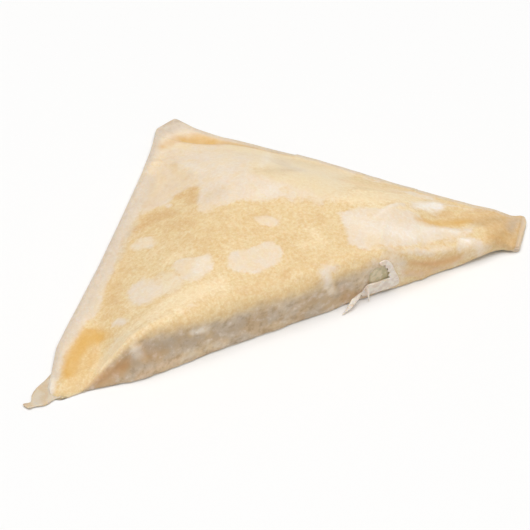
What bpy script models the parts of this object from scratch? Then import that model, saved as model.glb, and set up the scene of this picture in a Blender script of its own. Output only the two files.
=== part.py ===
"""Spanakopita triangle: a strip of filo folded like a flag round a spinach and cheese filling.

Sizes are in millimetres and become metres when a mesh is made. In the plan view the long
folded side lies along X with its middle at X 0, Y 0, and the apex is at +Y. The finished
part is moved so that its box is centred on the origin and stands on Z 0.
"""
from math import pi, radians, sqrt

import bpy
import numpy as np
from mathutils import Vector
from mathutils.geometry import delaunay_2d_cdt

MM = 0.001

# Driving dimensions
LEG = 127.0                  # short side of the triangle: the width of the dough strip
HALF = LEG / sqrt(2.0)       # half of the long folded side
FULL_HEIGHT = 16.4           # table to the top of the filled middle
SEAM = 3.1                   # stacked dough along the two short sides
DOUGH = 1.6                  # wall of layered dough round the filling
GAP = 0.4                    # clearance between the dough and the filling

# Long folded side
CREST_RADIUS = [(-62.0, 2.6), (-46.0, 3.6), (-26.0, 5.4), (10.0, 5.6), (24.0, 4.6), (40.0, 4.0)]
CREST_SHARE = 0.36           # the roll's radius where the parcel is thin, as a share of its height
CREST_LEAST = 0.4            # the edge's radius where no wall stands
TURN_LEAST = 0.05            # the least radius that the inner face of the dough turns with
FOOT_RADIUS = 0.6
FOOT_BELLY = [(-72.0, 0.0), (-62.0, -1.3), (-52.0, -2.2), (-38.0, -1.7), (-20.0, -0.9),
              (0.0, -0.6), (16.0, -0.2), (32.0, 0.0), (66.0, 0.0)]   # the wall sags out at its foot
LOW_WALL = 0.5               # a wall lower than this sags no further
WALL_START = (-73.0, -69.5)  # the front wall fades in between these places along X
WALL_END = (71.5, 67.5)      # and out again between these
WALL_BAND = 1.0              # outline points this near the front line belong to the wall
HEM_DROOP = -1.8             # the lower corner of the cut hem hangs in front of the wall
DROOP_START = 66.0

# How the dough rises from its flat margins to the filled middle
FOLD_MARGIN = (3.5, 13.5)    # flat margin at the rounded fold: along its length, and at the tail end
FOLD_RISE_END = (36.0, 26.0)
FOLD_CHANGE = (-20.0, -42.0)
CUT_MARGIN = (1.0, 6.0)      # flat margin at the cut side: along its length, and at the apex
CUT_RISE_END = 30.0
CUT_CHANGE = (-36.0, -58.0)
RISE_POWER = 1.4
WING = [(14.0, 1.0), (21.2, 0.76), (26.5, 0.54), (32.0, 0.43), (39.0, 0.35), (46.0, 0.24),
        (51.0, 0.10)]        # place along the cut side, and the share of the full rise left there
WING_LIFT = 1.7              # the thin wing stands clear of the table
WING_LIFT_AT = (33.0, 44.0, 51.5)
WING_LIFT_WIDTH = 12.0
EDGE_LIFT = 0.35             # the underside's soft edge
EDGE_LIFT_WIDTH = 5.0

# Fewer layers lie at the three corners: by how much, and where that starts and ends
THINNER_TAIL = (0.8, -62.0, -76.0)      # along X
THINNER_HEM = (1.5, 38.0, 49.0)         # along the cut side
THINNER_APEX = (1.2, 66.0, 82.0)        # along Y

# Uneven filling under the dough: long swells that bend a little, and short diagonal ones
LUMP = 0.32
LUMP_LONG = (7.1, 8.2)
LUMP_BEND = (0.9, 9.3)
LUMP_SHORT = (4.3, 5.1)
LUMP_PHASE = (0.4, 1.7)
LUMP_LONG_SHARE = 0.7

# Outline in plan, run counter-clockwise: (x, y, how far the edge rounds outwards)
FRONT_SIDE = [(-72.0, 0.0, 0.2), (-58.0, 0.0, 0.2), (66.0, 0.0, 0.1), (71.4, -1.8, 0.1)]
HEM = [(75.6, 2.9, 0.1), (79.6, 7.4, 0.1), (80.3, 9.9, 0.1)]
CUT_SIDE = [(76.3, 11.1, 0.2), (67.0, 19.3, 0.2), (51.3, 35.1, 0.2), (43.0, 44.9, 0.2),
            (34.0, 55.0, 0.2), (21.3, 67.7, 0.2), (12.6, 77.4, 0.2), (6.9, 84.5, 0.2)]
APEX = [(3.2, 91.0, 0.1), (-4.0, 89.2, 0.2)]
FOLD_SIDE = [(-8.0, 84.0, 0.6), (-17.2, 73.0, 1.1), (-30.6, 58.9, 1.1), (-47.1, 41.9, 1.1),
             (-62.1, 27.4, 1.1), (-71.8, 18.1, 1.1), (-77.3, 10.0, 1.0)]
TAIL_END = [(-80.9, 5.0, 0.8), (-81.4, 1.5, 0.6), (-78.6, -0.2, 0.4), (-75.0, -0.1, 0.3)]

# Filling pocket: distances from the sides
POCKET_FROM_FOLD = 13.5
POCKET_FROM_CUT = 9.5
POCKET_WING_END = 33.0       # along the cut side, from its middle
POCKET_CORNER = 4.0          # how much is cut off its corners
POCKET_TAIL_CORNER = 6.0     # and off the one at the tail end, along Y
POCKET_EDGE_ROUND = 0.6

# Tear in the front wall, in X and Z on the wall
TEAR = [(20.3, 6.3), (20.6, 9.4), (23.0, 11.3), (25.4, 11.6), (27.0, 8.9), (28.2, 4.5),
        (25.6, 3.8), (22.2, 4.2)]
TEAR_MIDDLE = (24.2, 7.7)
TEAR_INNER_Y = DOUGH + 1.2   # the cut runs from behind the dough
TEAR_OUTER_Y = -4.0          # to well in front of it
BULGE_OUT = 1.1              # the filling swells into the tear
BULGE_RADIUS = 3.0
BULGE_CORE = 0.3             # share of the radius that swells in full
BULGE_BEHIND = 4.0           # only the filling's front, up to this Y, swells

# Loose dough at the tear: outline in X and Z, and how far it stands in front of the wall
TORN_STRIP = [(18.4, 1.2), (19.0, 4.9), (22.1, 4.4), (25.6, 3.8), (28.8, 4.2), (30.9, 1.6),
              (26.3, 0.4), (21.7, 0.4)]
TORN_LIP = [(28.4, 4.4), (27.2, 9.0), (25.8, 11.9), (27.4, 13.0), (30.0, 10.8), (30.4, 5.0)]
TORN_THICK = 0.8
TORN_SUNK = 0.7
# Shreds hanging from the strip: root, tip, width and thickness at the root
SHREDS = [((18.2, -0.1, 2.6), (10.0, -3.6, 0.35), 2.4, 0.9),
          ((19.6, -0.3, 3.6), (19.5, -1.9, 0.35), 1.5, 0.8)]
SHRED_BOW = (0.0, -0.4, 0.2)            # how far a shred's middle stands off the straight line
SHRED_MIDDLE = 0.6                      # its width there, as a share of the width at the root
SHRED_TIP = 0.22
SHRED_THIN = 0.6                        # it gets no thinner than this share

# Corner of an inner layer that shows past the rounded end
TAIL = [(-74.0, 8.0), (-77.4, 9.2), (-81.2, 7.9), (-84.8, 6.3), (-86.4, 4.2), (-87.6, 2.6),
        (-89.6, 2.5), (-88.4, 0.2), (-85.8, 0.0), (-83.0, -0.7), (-80.0, 0.4), (-74.0, 2.0)]
TAIL_THICK = 0.9
TAIL_RAISED = 0.15

# Mesh density
TOP_STEP = 2.5
UNDER_STEP = 6.0
POCKET_STEP = 3.4
TEAR_STEP = 1.3
TEAR_STEP_REACH = 5.2
RING_CLEAR = 0.5             # shares of a step that the inner points keep from an outline
EXTRA_CLEAR = 0.8            # and from the extra points round the tear
EDGE_ROWS = 3
SMOOTH_ANGLE = 35.0          # degrees between faces that still shade smoothly

# Colours of the dough and the filling, and their roughness
DOUGH_COLOUR, DOUGH_ROUGHNESS = (0.83, 0.64, 0.35), 0.5
FILLING_COLOUR, FILLING_ROUGHNESS = (0.36, 0.35, 0.20), 0.6

ROOT2 = sqrt(2.0)


def smooth(low, high, value):
    """0 at low and 1 at high, with a level start and end."""
    t = np.clip((value - low) / (high - low), 0.0, 1.0)
    return t * t * (3.0 - 2.0 * t)


def curve(points, value):
    """A smooth line through (place, level) points, level beyond its ends."""
    places, levels = np.array(points).T
    slopes = np.gradient(levels, places)
    k = np.clip(np.searchsorted(places, value) - 1, 0, len(places) - 2)
    width = places[k + 1] - places[k]
    t = np.clip((value - places[k]) / width, 0.0, 1.0)
    start = levels[k] * (1.0 + 2.0 * t) * (1.0 - t) ** 2 + width * slopes[k] * t * (1.0 - t) ** 2
    end = levels[k + 1] * t * t * (3.0 - 2.0 * t) - width * slopes[k + 1] * t * t * (1.0 - t)
    return start + end


def swell(low, high, value):
    """0 at low and 1 at high: a short soft start, then a rounded shoulder."""
    t = np.clip((value - low) / (high - low), 0.0, 1.0)
    return np.sin(0.5 * pi * t) ** RISE_POWER


def from_fold(x, y):
    """Distance from the line of the rounded fold."""
    return (x - y + HALF) / ROOT2


def from_cut(x, y):
    """Distance from the line of the cut side."""
    return (HALF - x - y) / ROOT2


def along_fold(x, y):
    """Place along the rounded fold, from the tail end (negative) to the apex."""
    return (x + y) / ROOT2


def along_cut(x, y):
    """Place along the cut side, from the apex (negative) to the hem."""
    return (x - y) / ROOT2


def between(pair, share):
    """A value that runs from the pair's first number to its second."""
    return pair[0] + (pair[1] - pair[0]) * share


def lumps(x, y):
    """Low, uneven swells of the filling under the dough, between about -1 and 1."""
    bend = LUMP_BEND[0] * np.sin(y / LUMP_BEND[1])
    long = np.sin(x / LUMP_LONG[0] + bend) * np.cos(y / LUMP_LONG[1] + LUMP_PHASE[0])
    short = np.sin((x + y) / LUMP_SHORT[0] + LUMP_PHASE[1]) * np.cos((x - y) / LUMP_SHORT[1])
    return LUMP_LONG_SHARE * long + (1.0 - LUMP_LONG_SHARE) * short


def underside(x, y):
    """Height of the underside: flat, with soft edges and a raised wing."""
    edge = np.minimum(from_fold(x, y), from_cut(x, y))
    start, peak, end = WING_LIFT_AT
    place = along_cut(x, y)
    wing = smooth(start, peak, place) * (1.0 - smooth(peak, end, place))
    wing = wing * smooth(0.0, WING_LIFT_WIDTH, from_cut(x, y))
    return EDGE_LIFT * (1.0 - smooth(0.0, EDGE_LIFT_WIDTH, edge)) + WING_LIFT * wing


def seam_height(x, y):
    """Thickness of the stacked dough alone, thinner towards the corners."""
    height = SEAM
    places = (x, along_cut(x, y), y)
    for (less, start, end), place in zip((THINNER_TAIL, THINNER_HEM, THINNER_APEX), places):
        height = height - less * smooth(start, end, place)
    return height


def upper(x, y):
    """Height of the top of the parcel, without the roll into the front wall."""
    tail_end = smooth(*FOLD_CHANGE, along_fold(x, y))
    flat, full = between(FOLD_MARGIN, tail_end), between(FOLD_RISE_END, tail_end)
    rise_fold = swell(flat, full, from_fold(x, y))
    near_apex = smooth(*CUT_CHANGE, along_cut(x, y))
    rise_cut = swell(between(CUT_MARGIN, near_apex), CUT_RISE_END, from_cut(x, y))
    rise = rise_fold * rise_cut * curve(WING, along_cut(x, y))
    seam = seam_height(x, y)
    filled = FULL_HEIGHT - seam + LUMP * lumps(x, y)
    return seam + filled * rise + underside(x, y) * (1.0 - rise)


def front_line(x):
    """Y of the front wall at its crest."""
    return HEM_DROOP * smooth(DROOP_START, FRONT_SIDE[-1][0], x)


def crest_radius(x):
    """Radius of the roll into the front wall."""
    roll = curve(CREST_RADIUS, x)
    radius = np.minimum(roll, CREST_SHARE * upper(x, front_line(x) + 0.5 * roll))
    wall = smooth(*WALL_START, x) * smooth(*WALL_END, x)
    return CREST_LEAST + (radius - CREST_LEAST) * wall


def wall_height(x, inset=0.0):
    """Height of the upright part of the front wall, between the roll and the foot."""
    radius = crest_radius(x)
    crest = upper(x, front_line(x) + radius)
    foot = underside(x, front_line(x)) + FOOT_RADIUS
    return np.maximum(crest - radius - foot - inset, 0.0)


def wall_run(x, inset=0.0):
    """Length of dough from the start of the roll, over it and down to the foot."""
    return 0.5 * pi * (crest_radius(x) - inset) + wall_height(x, inset)


def drape(x, v, inset=0.0):
    """Points of the upper dough. v is Y on top, and runs on down the front wall below the roll."""
    front = front_line(x)
    radius = crest_radius(x)
    turn = np.maximum(radius - inset, TURN_LEAST)
    over = np.maximum(front + radius - v, 0.0)
    angle = np.minimum(over / turn, 0.5 * pi)
    straight = np.maximum(over - 0.5 * pi * turn, 0.0)
    on_top = over <= 0.0
    crest = upper(x, front + radius)
    down = straight / np.maximum(wall_height(x, inset), LOW_WALL)
    sag = curve(FOOT_BELLY, x) * smooth(0.0, 1.0, down)
    y = np.where(on_top, v, front + radius - turn * np.sin(angle) + sag)
    z = np.where(on_top, upper(x, v) - inset, crest - radius + turn * np.cos(angle) - straight)
    return np.stack([x, y, z], axis=-1)


def sample_outline(points, step):
    """Even samples along the closed outline, moved in by how far each edge rounds outwards."""
    ring = np.array(points + points[:1])
    samples = []
    for start, end in zip(ring[:-1], ring[1:]):
        count = max(1, round(np.linalg.norm(end[:2] - start[:2]) / step))
        samples.extend(start + (end - start) * k / count for k in range(count))
    samples = np.array(samples)
    ahead = np.roll(samples[:, :2], -1, axis=0) - np.roll(samples[:, :2], 1, axis=0)
    outward = np.stack([ahead[:, 1], -ahead[:, 0]], axis=-1)
    outward /= np.linalg.norm(outward, axis=1)[:, None]
    return samples[:, :2] - outward * samples[:, 2:3], outward, samples[:, 2]


def inside(ring, points):
    """Which points lie in the closed ring."""
    x, y = points[:, 0], points[:, 1]
    hit = np.zeros(len(points), dtype=bool)
    for (x0, y0), (x1, y1) in zip(ring, np.roll(ring, -1, axis=0)):
        crosses = (y0 > y) != (y1 > y)
        at = x0 + (y - y0) * (x1 - x0) / (y1 - y0 if y1 != y0 else 1.0)
        hit ^= crosses & (x < at)
    return hit


def distance_to(ring, points):
    """Distance from each point to the nearest side of the ring."""
    best = np.full(len(points), np.inf)
    for start, end in zip(ring, np.roll(ring, -1, axis=0)):
        side = end - start
        t = np.clip(((points - start) @ side) / max(side @ side, 1e-12), 0.0, 1.0)
        best = np.minimum(best, np.linalg.norm(points - start - t[:, None] * side, axis=1))
    return best


def fill_ring(ring, step, extra=None):
    """Triangles that fill a ring: its own points come first, then an even grid inside it."""
    low, high = ring.min(axis=0), ring.max(axis=0)
    rows = np.arange(low[1], high[1], step * sqrt(0.75))
    grid = [(x + (0.5 * step if k % 2 else 0.0), y)
            for k, y in enumerate(rows) for x in np.arange(low[0], high[0], step)]
    grid = np.array(grid)
    if extra is not None:
        nearest = np.min(np.linalg.norm(grid[:, None] - extra[None], axis=2), axis=1)
        grid = np.vstack([grid[nearest > EXTRA_CLEAR * step], extra])
    grid = grid[inside(ring, grid)]
    grid = grid[distance_to(ring, grid) > RING_CLEAR * min(step, TOP_STEP)]
    points = np.vstack([ring, grid])
    loop = [(k, (k + 1) % len(ring)) for k in range(len(ring))]
    result = delaunay_2d_cdt([Vector(p) for p in points], loop, [], 1, 1e-6)
    source = [ids[0] for ids in result[3]]
    return points, [[source[k] for k in face] for face in result[2]]


def make_object(name, points, faces, material):
    """A named object from points in millimetres."""
    mesh = bpy.data.meshes.new(name)
    mesh.from_pydata([tuple(p) for p in np.asarray(points) * MM], [], faces)
    mesh.validate()
    mesh.materials.append(material)
    item = bpy.data.objects.new(name, mesh)
    bpy.context.collection.objects.link(item)
    return item


def parcel(name, outline, step, under_step, inset, material, extra=None):
    """A closed body: the draped upper dough, the underside, and a rounded edge between them."""
    plan, outward, rounding = sample_outline(outline, step)
    x, y = plan[:, 0], plan[:, 1]
    on_wall = y < front_line(x) + inset + WALL_BAND
    wall = smooth(*WALL_START, x) * smooth(*WALL_END, x) * on_wall
    bottom_of_wall = front_line(x) + crest_radius(x) - wall_run(x, inset)
    edge = np.stack([x, y + wall * (bottom_of_wall - y)], axis=-1)
    under = np.stack([x, y + wall * (FOOT_RADIUS + curve(FOOT_BELLY, x))], axis=-1)

    flat_top, top_faces = fill_ring(edge, step, extra)
    top = drape(flat_top[:, 0], flat_top[:, 1], inset)
    flat_under, under_faces = fill_ring(under, under_step)
    bottom = np.column_stack([flat_under, underside(flat_under[:, 0], flat_under[:, 1]) + inset])

    count = len(plan)
    points = [top, bottom]
    rings = [np.arange(count)]
    offset = len(top) + len(bottom)
    for row in range(1, EDGE_ROWS):
        share = row / EDGE_ROWS
        ring = top[:count] + (bottom[:count] - top[:count]) * share
        ring[:, :2] += outward * (rounding * np.sin(pi * share))[:, None]
        points.append(ring)
        rings.append(np.arange(offset, offset + count))
        offset += count
    rings.append(np.arange(len(top), len(top) + count))

    faces = [tuple(face) for face in top_faces]
    faces += [tuple(len(top) + k for k in reversed(face)) for face in under_faces]
    for upper_ring, lower_ring in zip(rings[:-1], rings[1:]):
        for k in range(count):
            n = (k + 1) % count
            faces.append((upper_ring[k], lower_ring[k], lower_ring[n], upper_ring[n]))
    return make_object(name, np.vstack(points), faces, material)


def on_table(x, y, z):
    """Places an outline drawn in X and Y."""
    return x, y, z


def on_front(x, z, y):
    """Places an outline drawn in X and Z."""
    return x, y, z


def prism(name, outline, depth, to_point, material):
    """A plate: the outline at two depths. to_point places (u, v, depth) in space."""
    count = len(outline)
    points = [to_point(u, v, d) for d in depth for u, v in outline]
    sides = [(k, (k + 1) % count, count + (k + 1) % count, count + k) for k in range(count)]
    faces = [tuple(reversed(range(count))), tuple(range(count, 2 * count))] + sides
    return make_object(name, points, faces, material)


def shred(name, root, tip, width, thick, material):
    """A pointed scrap of dough from its root on the wall to its tip."""
    root, tip = np.array(root), np.array(tip)
    middle = 0.5 * (root + tip) + np.array(SHRED_BOW)
    along = (tip - root) / np.linalg.norm(tip - root)
    across = np.cross(along, (0.0, -1.0, 0.0))
    across /= np.linalg.norm(across)
    out = np.cross(across, along)
    points = []
    for centre, share in ((root, 1.0), (middle, SHRED_MIDDLE), (tip, SHRED_TIP)):
        half_width = across * (0.5 * width * share)
        half_thick = out * (0.5 * thick * max(share, SHRED_THIN))
        for a, b in ((-1, -1), (1, -1), (1, 1), (-1, 1)):
            points.append(centre + a * half_width + b * half_thick)
    faces = [(0, 3, 2, 1), (8, 9, 10, 11)]
    for ring in (0, 4):
        for k in range(4):
            n = (k + 1) % 4
            faces.append((ring + k, ring + n, ring + 4 + n, ring + 4 + k))
    return make_object(name, points, faces, material)


def make_faces_point_out(item):
    """Turns every face of a closed mesh outwards."""
    mesh = item.data
    points = np.empty(len(mesh.vertices) * 3)
    mesh.vertices.foreach_get("co", points)
    points = points.reshape(-1, 3)
    mesh.calc_loop_triangles()
    corners = np.array([t.vertices[:] for t in mesh.loop_triangles])
    a, b, c = points[corners[:, 0]], points[corners[:, 1]], points[corners[:, 2]]
    if np.einsum("ij,ij->", a, np.cross(b, c)) < 0.0:
        mesh.flip_normals()


def combine(target, other, operation):
    """A Boolean that is applied; the other object is removed."""
    make_faces_point_out(other)
    step = target.modifiers.new(operation.lower(), "BOOLEAN")
    step.operation = operation
    step.solver = "EXACT"
    step.object = other
    graph = bpy.context.evaluated_depsgraph_get()
    mesh = bpy.data.meshes.new_from_object(target.evaluated_get(graph))
    target.modifiers.remove(step)
    old = target.data
    target.data = mesh
    bpy.data.meshes.remove(old)
    bpy.data.objects.remove(other)


def make_material(name, colour, roughness):
    """A plain surface in the food's own colour."""
    material = bpy.data.materials.new(name)
    material.use_nodes = True
    shader = material.node_tree.nodes["Principled BSDF"]
    shader.inputs["Base Color"].default_value = (*colour, 1.0)
    shader.inputs["Roughness"].default_value = roughness
    shader.inputs["Metallic"].default_value = 0.0
    return material


def whole_outline():
    """The outline of the folded dough."""
    return FRONT_SIDE + HEM + CUT_SIDE + APEX + FOLD_SIDE + TAIL_END


def pocket_outline():
    """The outline of the filling pocket, parallel to the dough's sides, with its corners cut off."""
    fold = POCKET_FROM_FOLD * ROOT2 - HALF
    cut = HALF - POCKET_FROM_CUT * ROOT2
    wing = POCKET_WING_END * ROOT2
    apex_x, apex_y = 0.5 * (cut + fold), 0.5 * (cut - fold)
    corners = [(fold + POCKET_CORNER, DOUGH), (wing, DOUGH),
               (0.5 * (wing + cut), 0.5 * (cut - wing)),
               (apex_x + POCKET_CORNER, apex_y - POCKET_CORNER),
               (apex_x - POCKET_CORNER, apex_y - POCKET_CORNER),
               (fold + POCKET_TAIL_CORNER, POCKET_TAIL_CORNER)]
    return [(x, y, POCKET_EDGE_ROUND * (y > DOUGH)) for x, y in corners]


def tear_points():
    """Extra mesh points round the tear, in the draped sheet's own coordinates."""
    steps = round(TEAR_STEP_REACH / TEAR_STEP)
    reach = np.arange(-steps, steps + 1) * TEAR_STEP
    middle_x, middle_z = TEAR_MIDDLE
    crest = float(upper(middle_x, crest_radius(middle_x)))
    radius = float(crest_radius(middle_x))
    middle_v = radius - 0.5 * pi * (radius - DOUGH) - (crest - radius - middle_z)
    return np.array([(middle_x + a, middle_v + b) for a in reach for b in reach
                     if a * a + b * b <= TEAR_STEP_REACH ** 2])


def make_pocket(name, material):
    """The closed body of the filling pocket, finely divided round the tear."""
    pocket = parcel(name, pocket_outline(), POCKET_STEP, POCKET_STEP, DOUGH, material, tear_points())
    make_faces_point_out(pocket)
    return pocket


def build_dough(material):
    """The folded dough, hollow round the filling, with the tear and its loose scraps."""
    dough = parcel("filo_pastry", whole_outline(), TOP_STEP, UNDER_STEP, 0.0, material)
    make_faces_point_out(dough)

    tail = prism("tail", TAIL, (TAIL_RAISED, TAIL_RAISED + TAIL_THICK), on_table, material)
    combine(dough, tail, "UNION")
    for number, outline in enumerate((TORN_STRIP, TORN_LIP)):
        scrap = prism(f"scrap_{number}", outline, (TORN_SUNK, -TORN_THICK), on_front, material)
        combine(dough, scrap, "UNION")
    for number, (root, tip, width, thick) in enumerate(SHREDS):
        scrap = shred(f"shred_{number}", root, tip, width, thick, material)
        combine(dough, scrap, "UNION")

    pocket = make_pocket("pocket", material)
    tear = prism("tear", TEAR, (TEAR_INNER_Y, TEAR_OUTER_Y), on_front, material)
    combine(pocket, tear, "UNION")
    combine(dough, pocket, "DIFFERENCE")
    return dough


def build_filling(material):
    """The filling: the pocket's own shape, drawn in by the gap and swollen into the tear."""
    filling = make_pocket("filling", material)
    normals = [item.vector.copy() for item in filling.data.vertex_normals]
    for vertex, normal in zip(filling.data.vertices, normals):
        place = vertex.co / MM - normal * GAP
        reach = np.hypot(place.x - TEAR_MIDDLE[0], place.z - TEAR_MIDDLE[1])
        swollen = 1.0 - smooth(BULGE_CORE * BULGE_RADIUS, BULGE_RADIUS, reach)
        if place.y < BULGE_BEHIND:
            place.y -= BULGE_OUT * swollen
        vertex.co = place * MM
    return filling


def centre_on_table(items):
    """Moves the meshes so that the box is centred on X 0, Y 0 and stands on Z 0."""
    corners = []
    for item in items:
        points = np.empty(len(item.data.vertices) * 3, dtype=np.float32)
        item.data.vertices.foreach_get("co", points)
        corners.append(points.reshape(-1, 3))
    whole = np.vstack(corners)
    low, high = whole.min(axis=0), whole.max(axis=0)
    middle = 0.5 * (low + high)
    shift = np.array([middle[0], middle[1], low[2]], dtype=np.float32)
    for item, points in zip(items, corners):
        item.data.vertices.foreach_set("co", (points - shift).ravel())
        item.data.update()
        item.data.shade_smooth()
        item.data.set_sharp_from_angle(angle=radians(SMOOTH_ANGLE))


def main():
    """Builds the dough and the filling in an empty scene."""
    for item in list(bpy.data.objects):
        bpy.data.objects.remove(item)
    dough_material = make_material("filo_dough", DOUGH_COLOUR, DOUGH_ROUGHNESS)
    filling_material = make_material("spinach_cheese_filling", FILLING_COLOUR, FILLING_ROUGHNESS)
    items = [build_dough(dough_material), build_filling(filling_material)]
    centre_on_table(items)


main()
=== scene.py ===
"""Looks of one spanakopita triangle: folded filo round spinach and cheese, on a pale table.

Sizes are in millimetres in the plan frame of the dough: the long folded side lies along X
with its middle at X 0, Y 0, the apex is at +Y, and the table is Z 0. They become metres in
the model's frame when a mesh is made. The formulas for the dough's form are those of the
solids, sampled about five times finer and given relief.
"""

from math import pi, radians, sqrt

import bpy
import numpy as np
from mathutils import Matrix, Vector
from mathutils.geometry import delaunay_2d_cdt


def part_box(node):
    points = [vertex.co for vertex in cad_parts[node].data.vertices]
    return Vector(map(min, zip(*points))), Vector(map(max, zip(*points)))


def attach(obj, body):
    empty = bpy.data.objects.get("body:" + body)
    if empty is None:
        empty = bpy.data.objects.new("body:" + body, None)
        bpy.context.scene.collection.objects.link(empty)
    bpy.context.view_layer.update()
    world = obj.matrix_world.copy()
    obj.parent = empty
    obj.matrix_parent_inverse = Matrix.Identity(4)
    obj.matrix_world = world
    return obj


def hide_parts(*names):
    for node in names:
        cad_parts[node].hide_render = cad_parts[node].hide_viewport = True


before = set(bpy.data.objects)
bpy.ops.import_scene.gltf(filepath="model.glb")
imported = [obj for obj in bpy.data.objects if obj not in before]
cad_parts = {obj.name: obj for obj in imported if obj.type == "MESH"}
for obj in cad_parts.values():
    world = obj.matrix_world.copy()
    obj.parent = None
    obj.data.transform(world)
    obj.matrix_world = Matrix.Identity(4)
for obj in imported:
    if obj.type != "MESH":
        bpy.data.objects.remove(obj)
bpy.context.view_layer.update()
MM = 0.001
ROOT2 = sqrt(2.0)

# Driving dimensions, as in the solids
LEG = 127.0  # short side of the triangle: the width of the dough strip
HALF = LEG / ROOT2  # half of the long folded side
FULL_HEIGHT = 16.4  # table to the top of the filled middle
SEAM = 3.1  # stacked dough along the two short sides
DOUGH = 1.6  # wall of layered dough round the filling
GAP = 0.4  # clearance between the dough and the filling

# Long folded side
CREST_RADIUS = [(-62, 2.6), (-46, 3.6), (-26, 5.4), (10, 5.6), (24, 4.6), (40, 4)]  # (X, radius)
CREST_SHARE = 0.36  # the roll's radius where the parcel is thin, as a share of its height
CREST_LEAST = 0.4  # the edge's radius where no wall stands
TURN_LEAST = 0.05  # the least radius that the inner face of the dough turns with
FOOT_RADIUS = 0.6
# The wall sags out at its foot: (X, how far)
FOOT_BELLY = [(-72, 0), (-62, -1.3), (-52, -2.2), (-38, -1.7), (-20, -0.9), (0, -0.6), (16, -0.2),
              (32, 0), (66, 0)]
LOW_WALL = 0.5  # a wall lower than this sags less
WALL_START = (-73.0, -69.5)  # the front wall fades in between these places along X
WALL_END = (71.5, 67.5)  # and out again between these
WALL_BAND = 1.0  # outline points this near the front line belong to the wall
HEM_DROOP = -1.8  # the lower corner of the cut hem hangs in front of the wall
DROOP_START = 66.0

# How the dough rises from its flat margins to the filled middle
FOLD_MARGIN = (3.5, 13.5)  # flat margin at the rounded fold: along its length, and at the tail end
FOLD_RISE_END = (36.0, 26.0)
FOLD_CHANGE = (-20.0, -42.0)
CUT_MARGIN = (1.0, 6.0)  # flat margin at the cut side: along its length, and at the apex
CUT_RISE_END = 30.0
CUT_CHANGE = (-36.0, -58.0)
RISE_POWER = 1.4
# Place along the cut side, and the share of the full rise left there
WING = [(14, 1), (21.2, 0.76), (26.5, 0.54), (32, 0.43), (39, 0.35), (46, 0.24), (51, 0.1)]
WING_LIFT = 1.7  # the thin wing stands clear of the table
WING_LIFT_AT = (33.0, 44.0, 51.5)
WING_LIFT_WIDTH = 12.0
EDGE_LIFT = 0.35  # the underside's soft edge
EDGE_LIFT_WIDTH = 5.0

# Fewer layers lie at the three corners: by how much, and where that starts and ends
THINNER_TAIL = (0.8, -62.0, -76.0)  # along X
THINNER_HEM = (1.5, 38.0, 49.0)  # along the cut side
THINNER_APEX = (1.2, 66.0, 82.0)  # along Y

# Uneven filling under the dough: long swells that bend a little, and short diagonal ones
LUMP = 0.32
LUMP_LONG = (7.1, 8.2)
LUMP_BEND = (0.9, 9.3)
LUMP_SHORT = (4.3, 5.1)
LUMP_PHASE = (0.4, 1.7)
LUMP_SHARES = (0.7, 0.3)

# Outline in plan, run anticlockwise: (x, y, how far the edge rounds outwards)
FRONT_SIDE = [(-72, 0, 0.2), (-58, 0, 0.2), (66, 0, 0.1), (71.4, -1.8, 0.1)]
HEM = [(75.6, 2.9, 0.1), (79.6, 7.4, 0.1), (80.3, 9.9, 0.1)]
CUT_SIDE = [(76.3, 11.1, 0.2), (67, 19.3, 0.2), (51.3, 35.1, 0.2), (43, 44.9, 0.2), (34, 55, 0.2),
            (21.3, 67.7, 0.2), (12.6, 77.4, 0.2), (6.9, 84.5, 0.2)]
APEX = [(3.2, 91, 0.1), (-4, 89.2, 0.2)]
FOLD_SIDE = [(-8, 84, 0.6), (-17.2, 73, 1.1), (-30.6, 58.9, 1.1), (-47.1, 41.9, 1.1), (-62.1, 27.4, 1.1),
             (-71.8, 18.1, 1.1), (-77.3, 10, 1)]
TAIL_END = [(-80.9, 5, 0.5), (-81.4, 1.5, 0.3), (-78.6, -0.2, 0.2), (-75, -0.1, 0.2)]

# Filling pocket: distances from the sides
POCKET_FROM_FOLD = 13.5
POCKET_FROM_CUT = 9.5
POCKET_WING_END = 33.0  # along the cut side, from its middle
POCKET_CORNER = 4.0  # how much is cut off its corners
POCKET_TAIL_CORNER = 6.0  # and off the one at the tail end
POCKET_EDGE_ROUND = 0.6

# Tear in the front wall, in X and Z on the wall, and the filling that swells into it
TEAR = [(20.3, 6.3), (20.6, 9.4), (23, 11.3), (25.4, 11.6), (27, 8.9), (28.2, 4.5),
        (25.6, 3.8), (22.2, 4.2)]
TEAR_MIDDLE = (24.2, 7.7)
TEAR_RAGGED = 0.07  # its outline wanders by this share of its reach
TEAR_RAGGED_SIZE = 1.6
BULGE_OUT = 1.85
BULGE_RADIUS = 4.9
BULGE_CORE = 0.84  # share of the radius that swells in full
BULGE_BEHIND = 4.0  # only the filling's front, up to this Y, swells

# Torn dough that hangs from the tear, in X and Z
TORN_BAND = [(22.4, 13.9), (24.8, 13.9), (26.6, 12), (28, 8.8), (29.9, 4.9), (30.1, 2.4), (27.1, 1.7),
             (23.7, 1.4), (20.2, 1.7), (18, 2), (17.7, 4), (18.9, 5.7), (20.6, 6.2), (23.4, 6),
             (25.3, 6.2), (26.7, 6.5), (26.1, 7.3), (26.5, 8.4), (25.6, 9.2), (25.7, 10.4), (24.7, 11),
             (24.6, 12.2), (23.2, 12.5)]
LONG_SHRED = [(13.7, 3), (15.4, 3.4), (17.4, 4.2), (16.6, 3), (14.4, 2), (12, 1), (9.8, 0.3),
              (11.6, 1.5)]
SHORT_SHRED = [(18.5, 5.6), (19.4, 5.4), (19.7, 3.4), (19.6, 0.4), (19.1, 3)]
HANGING_WAVE_SIZE = 2.2
BAND_THICK = 0.34
PLY_THICK = 0.26

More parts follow.
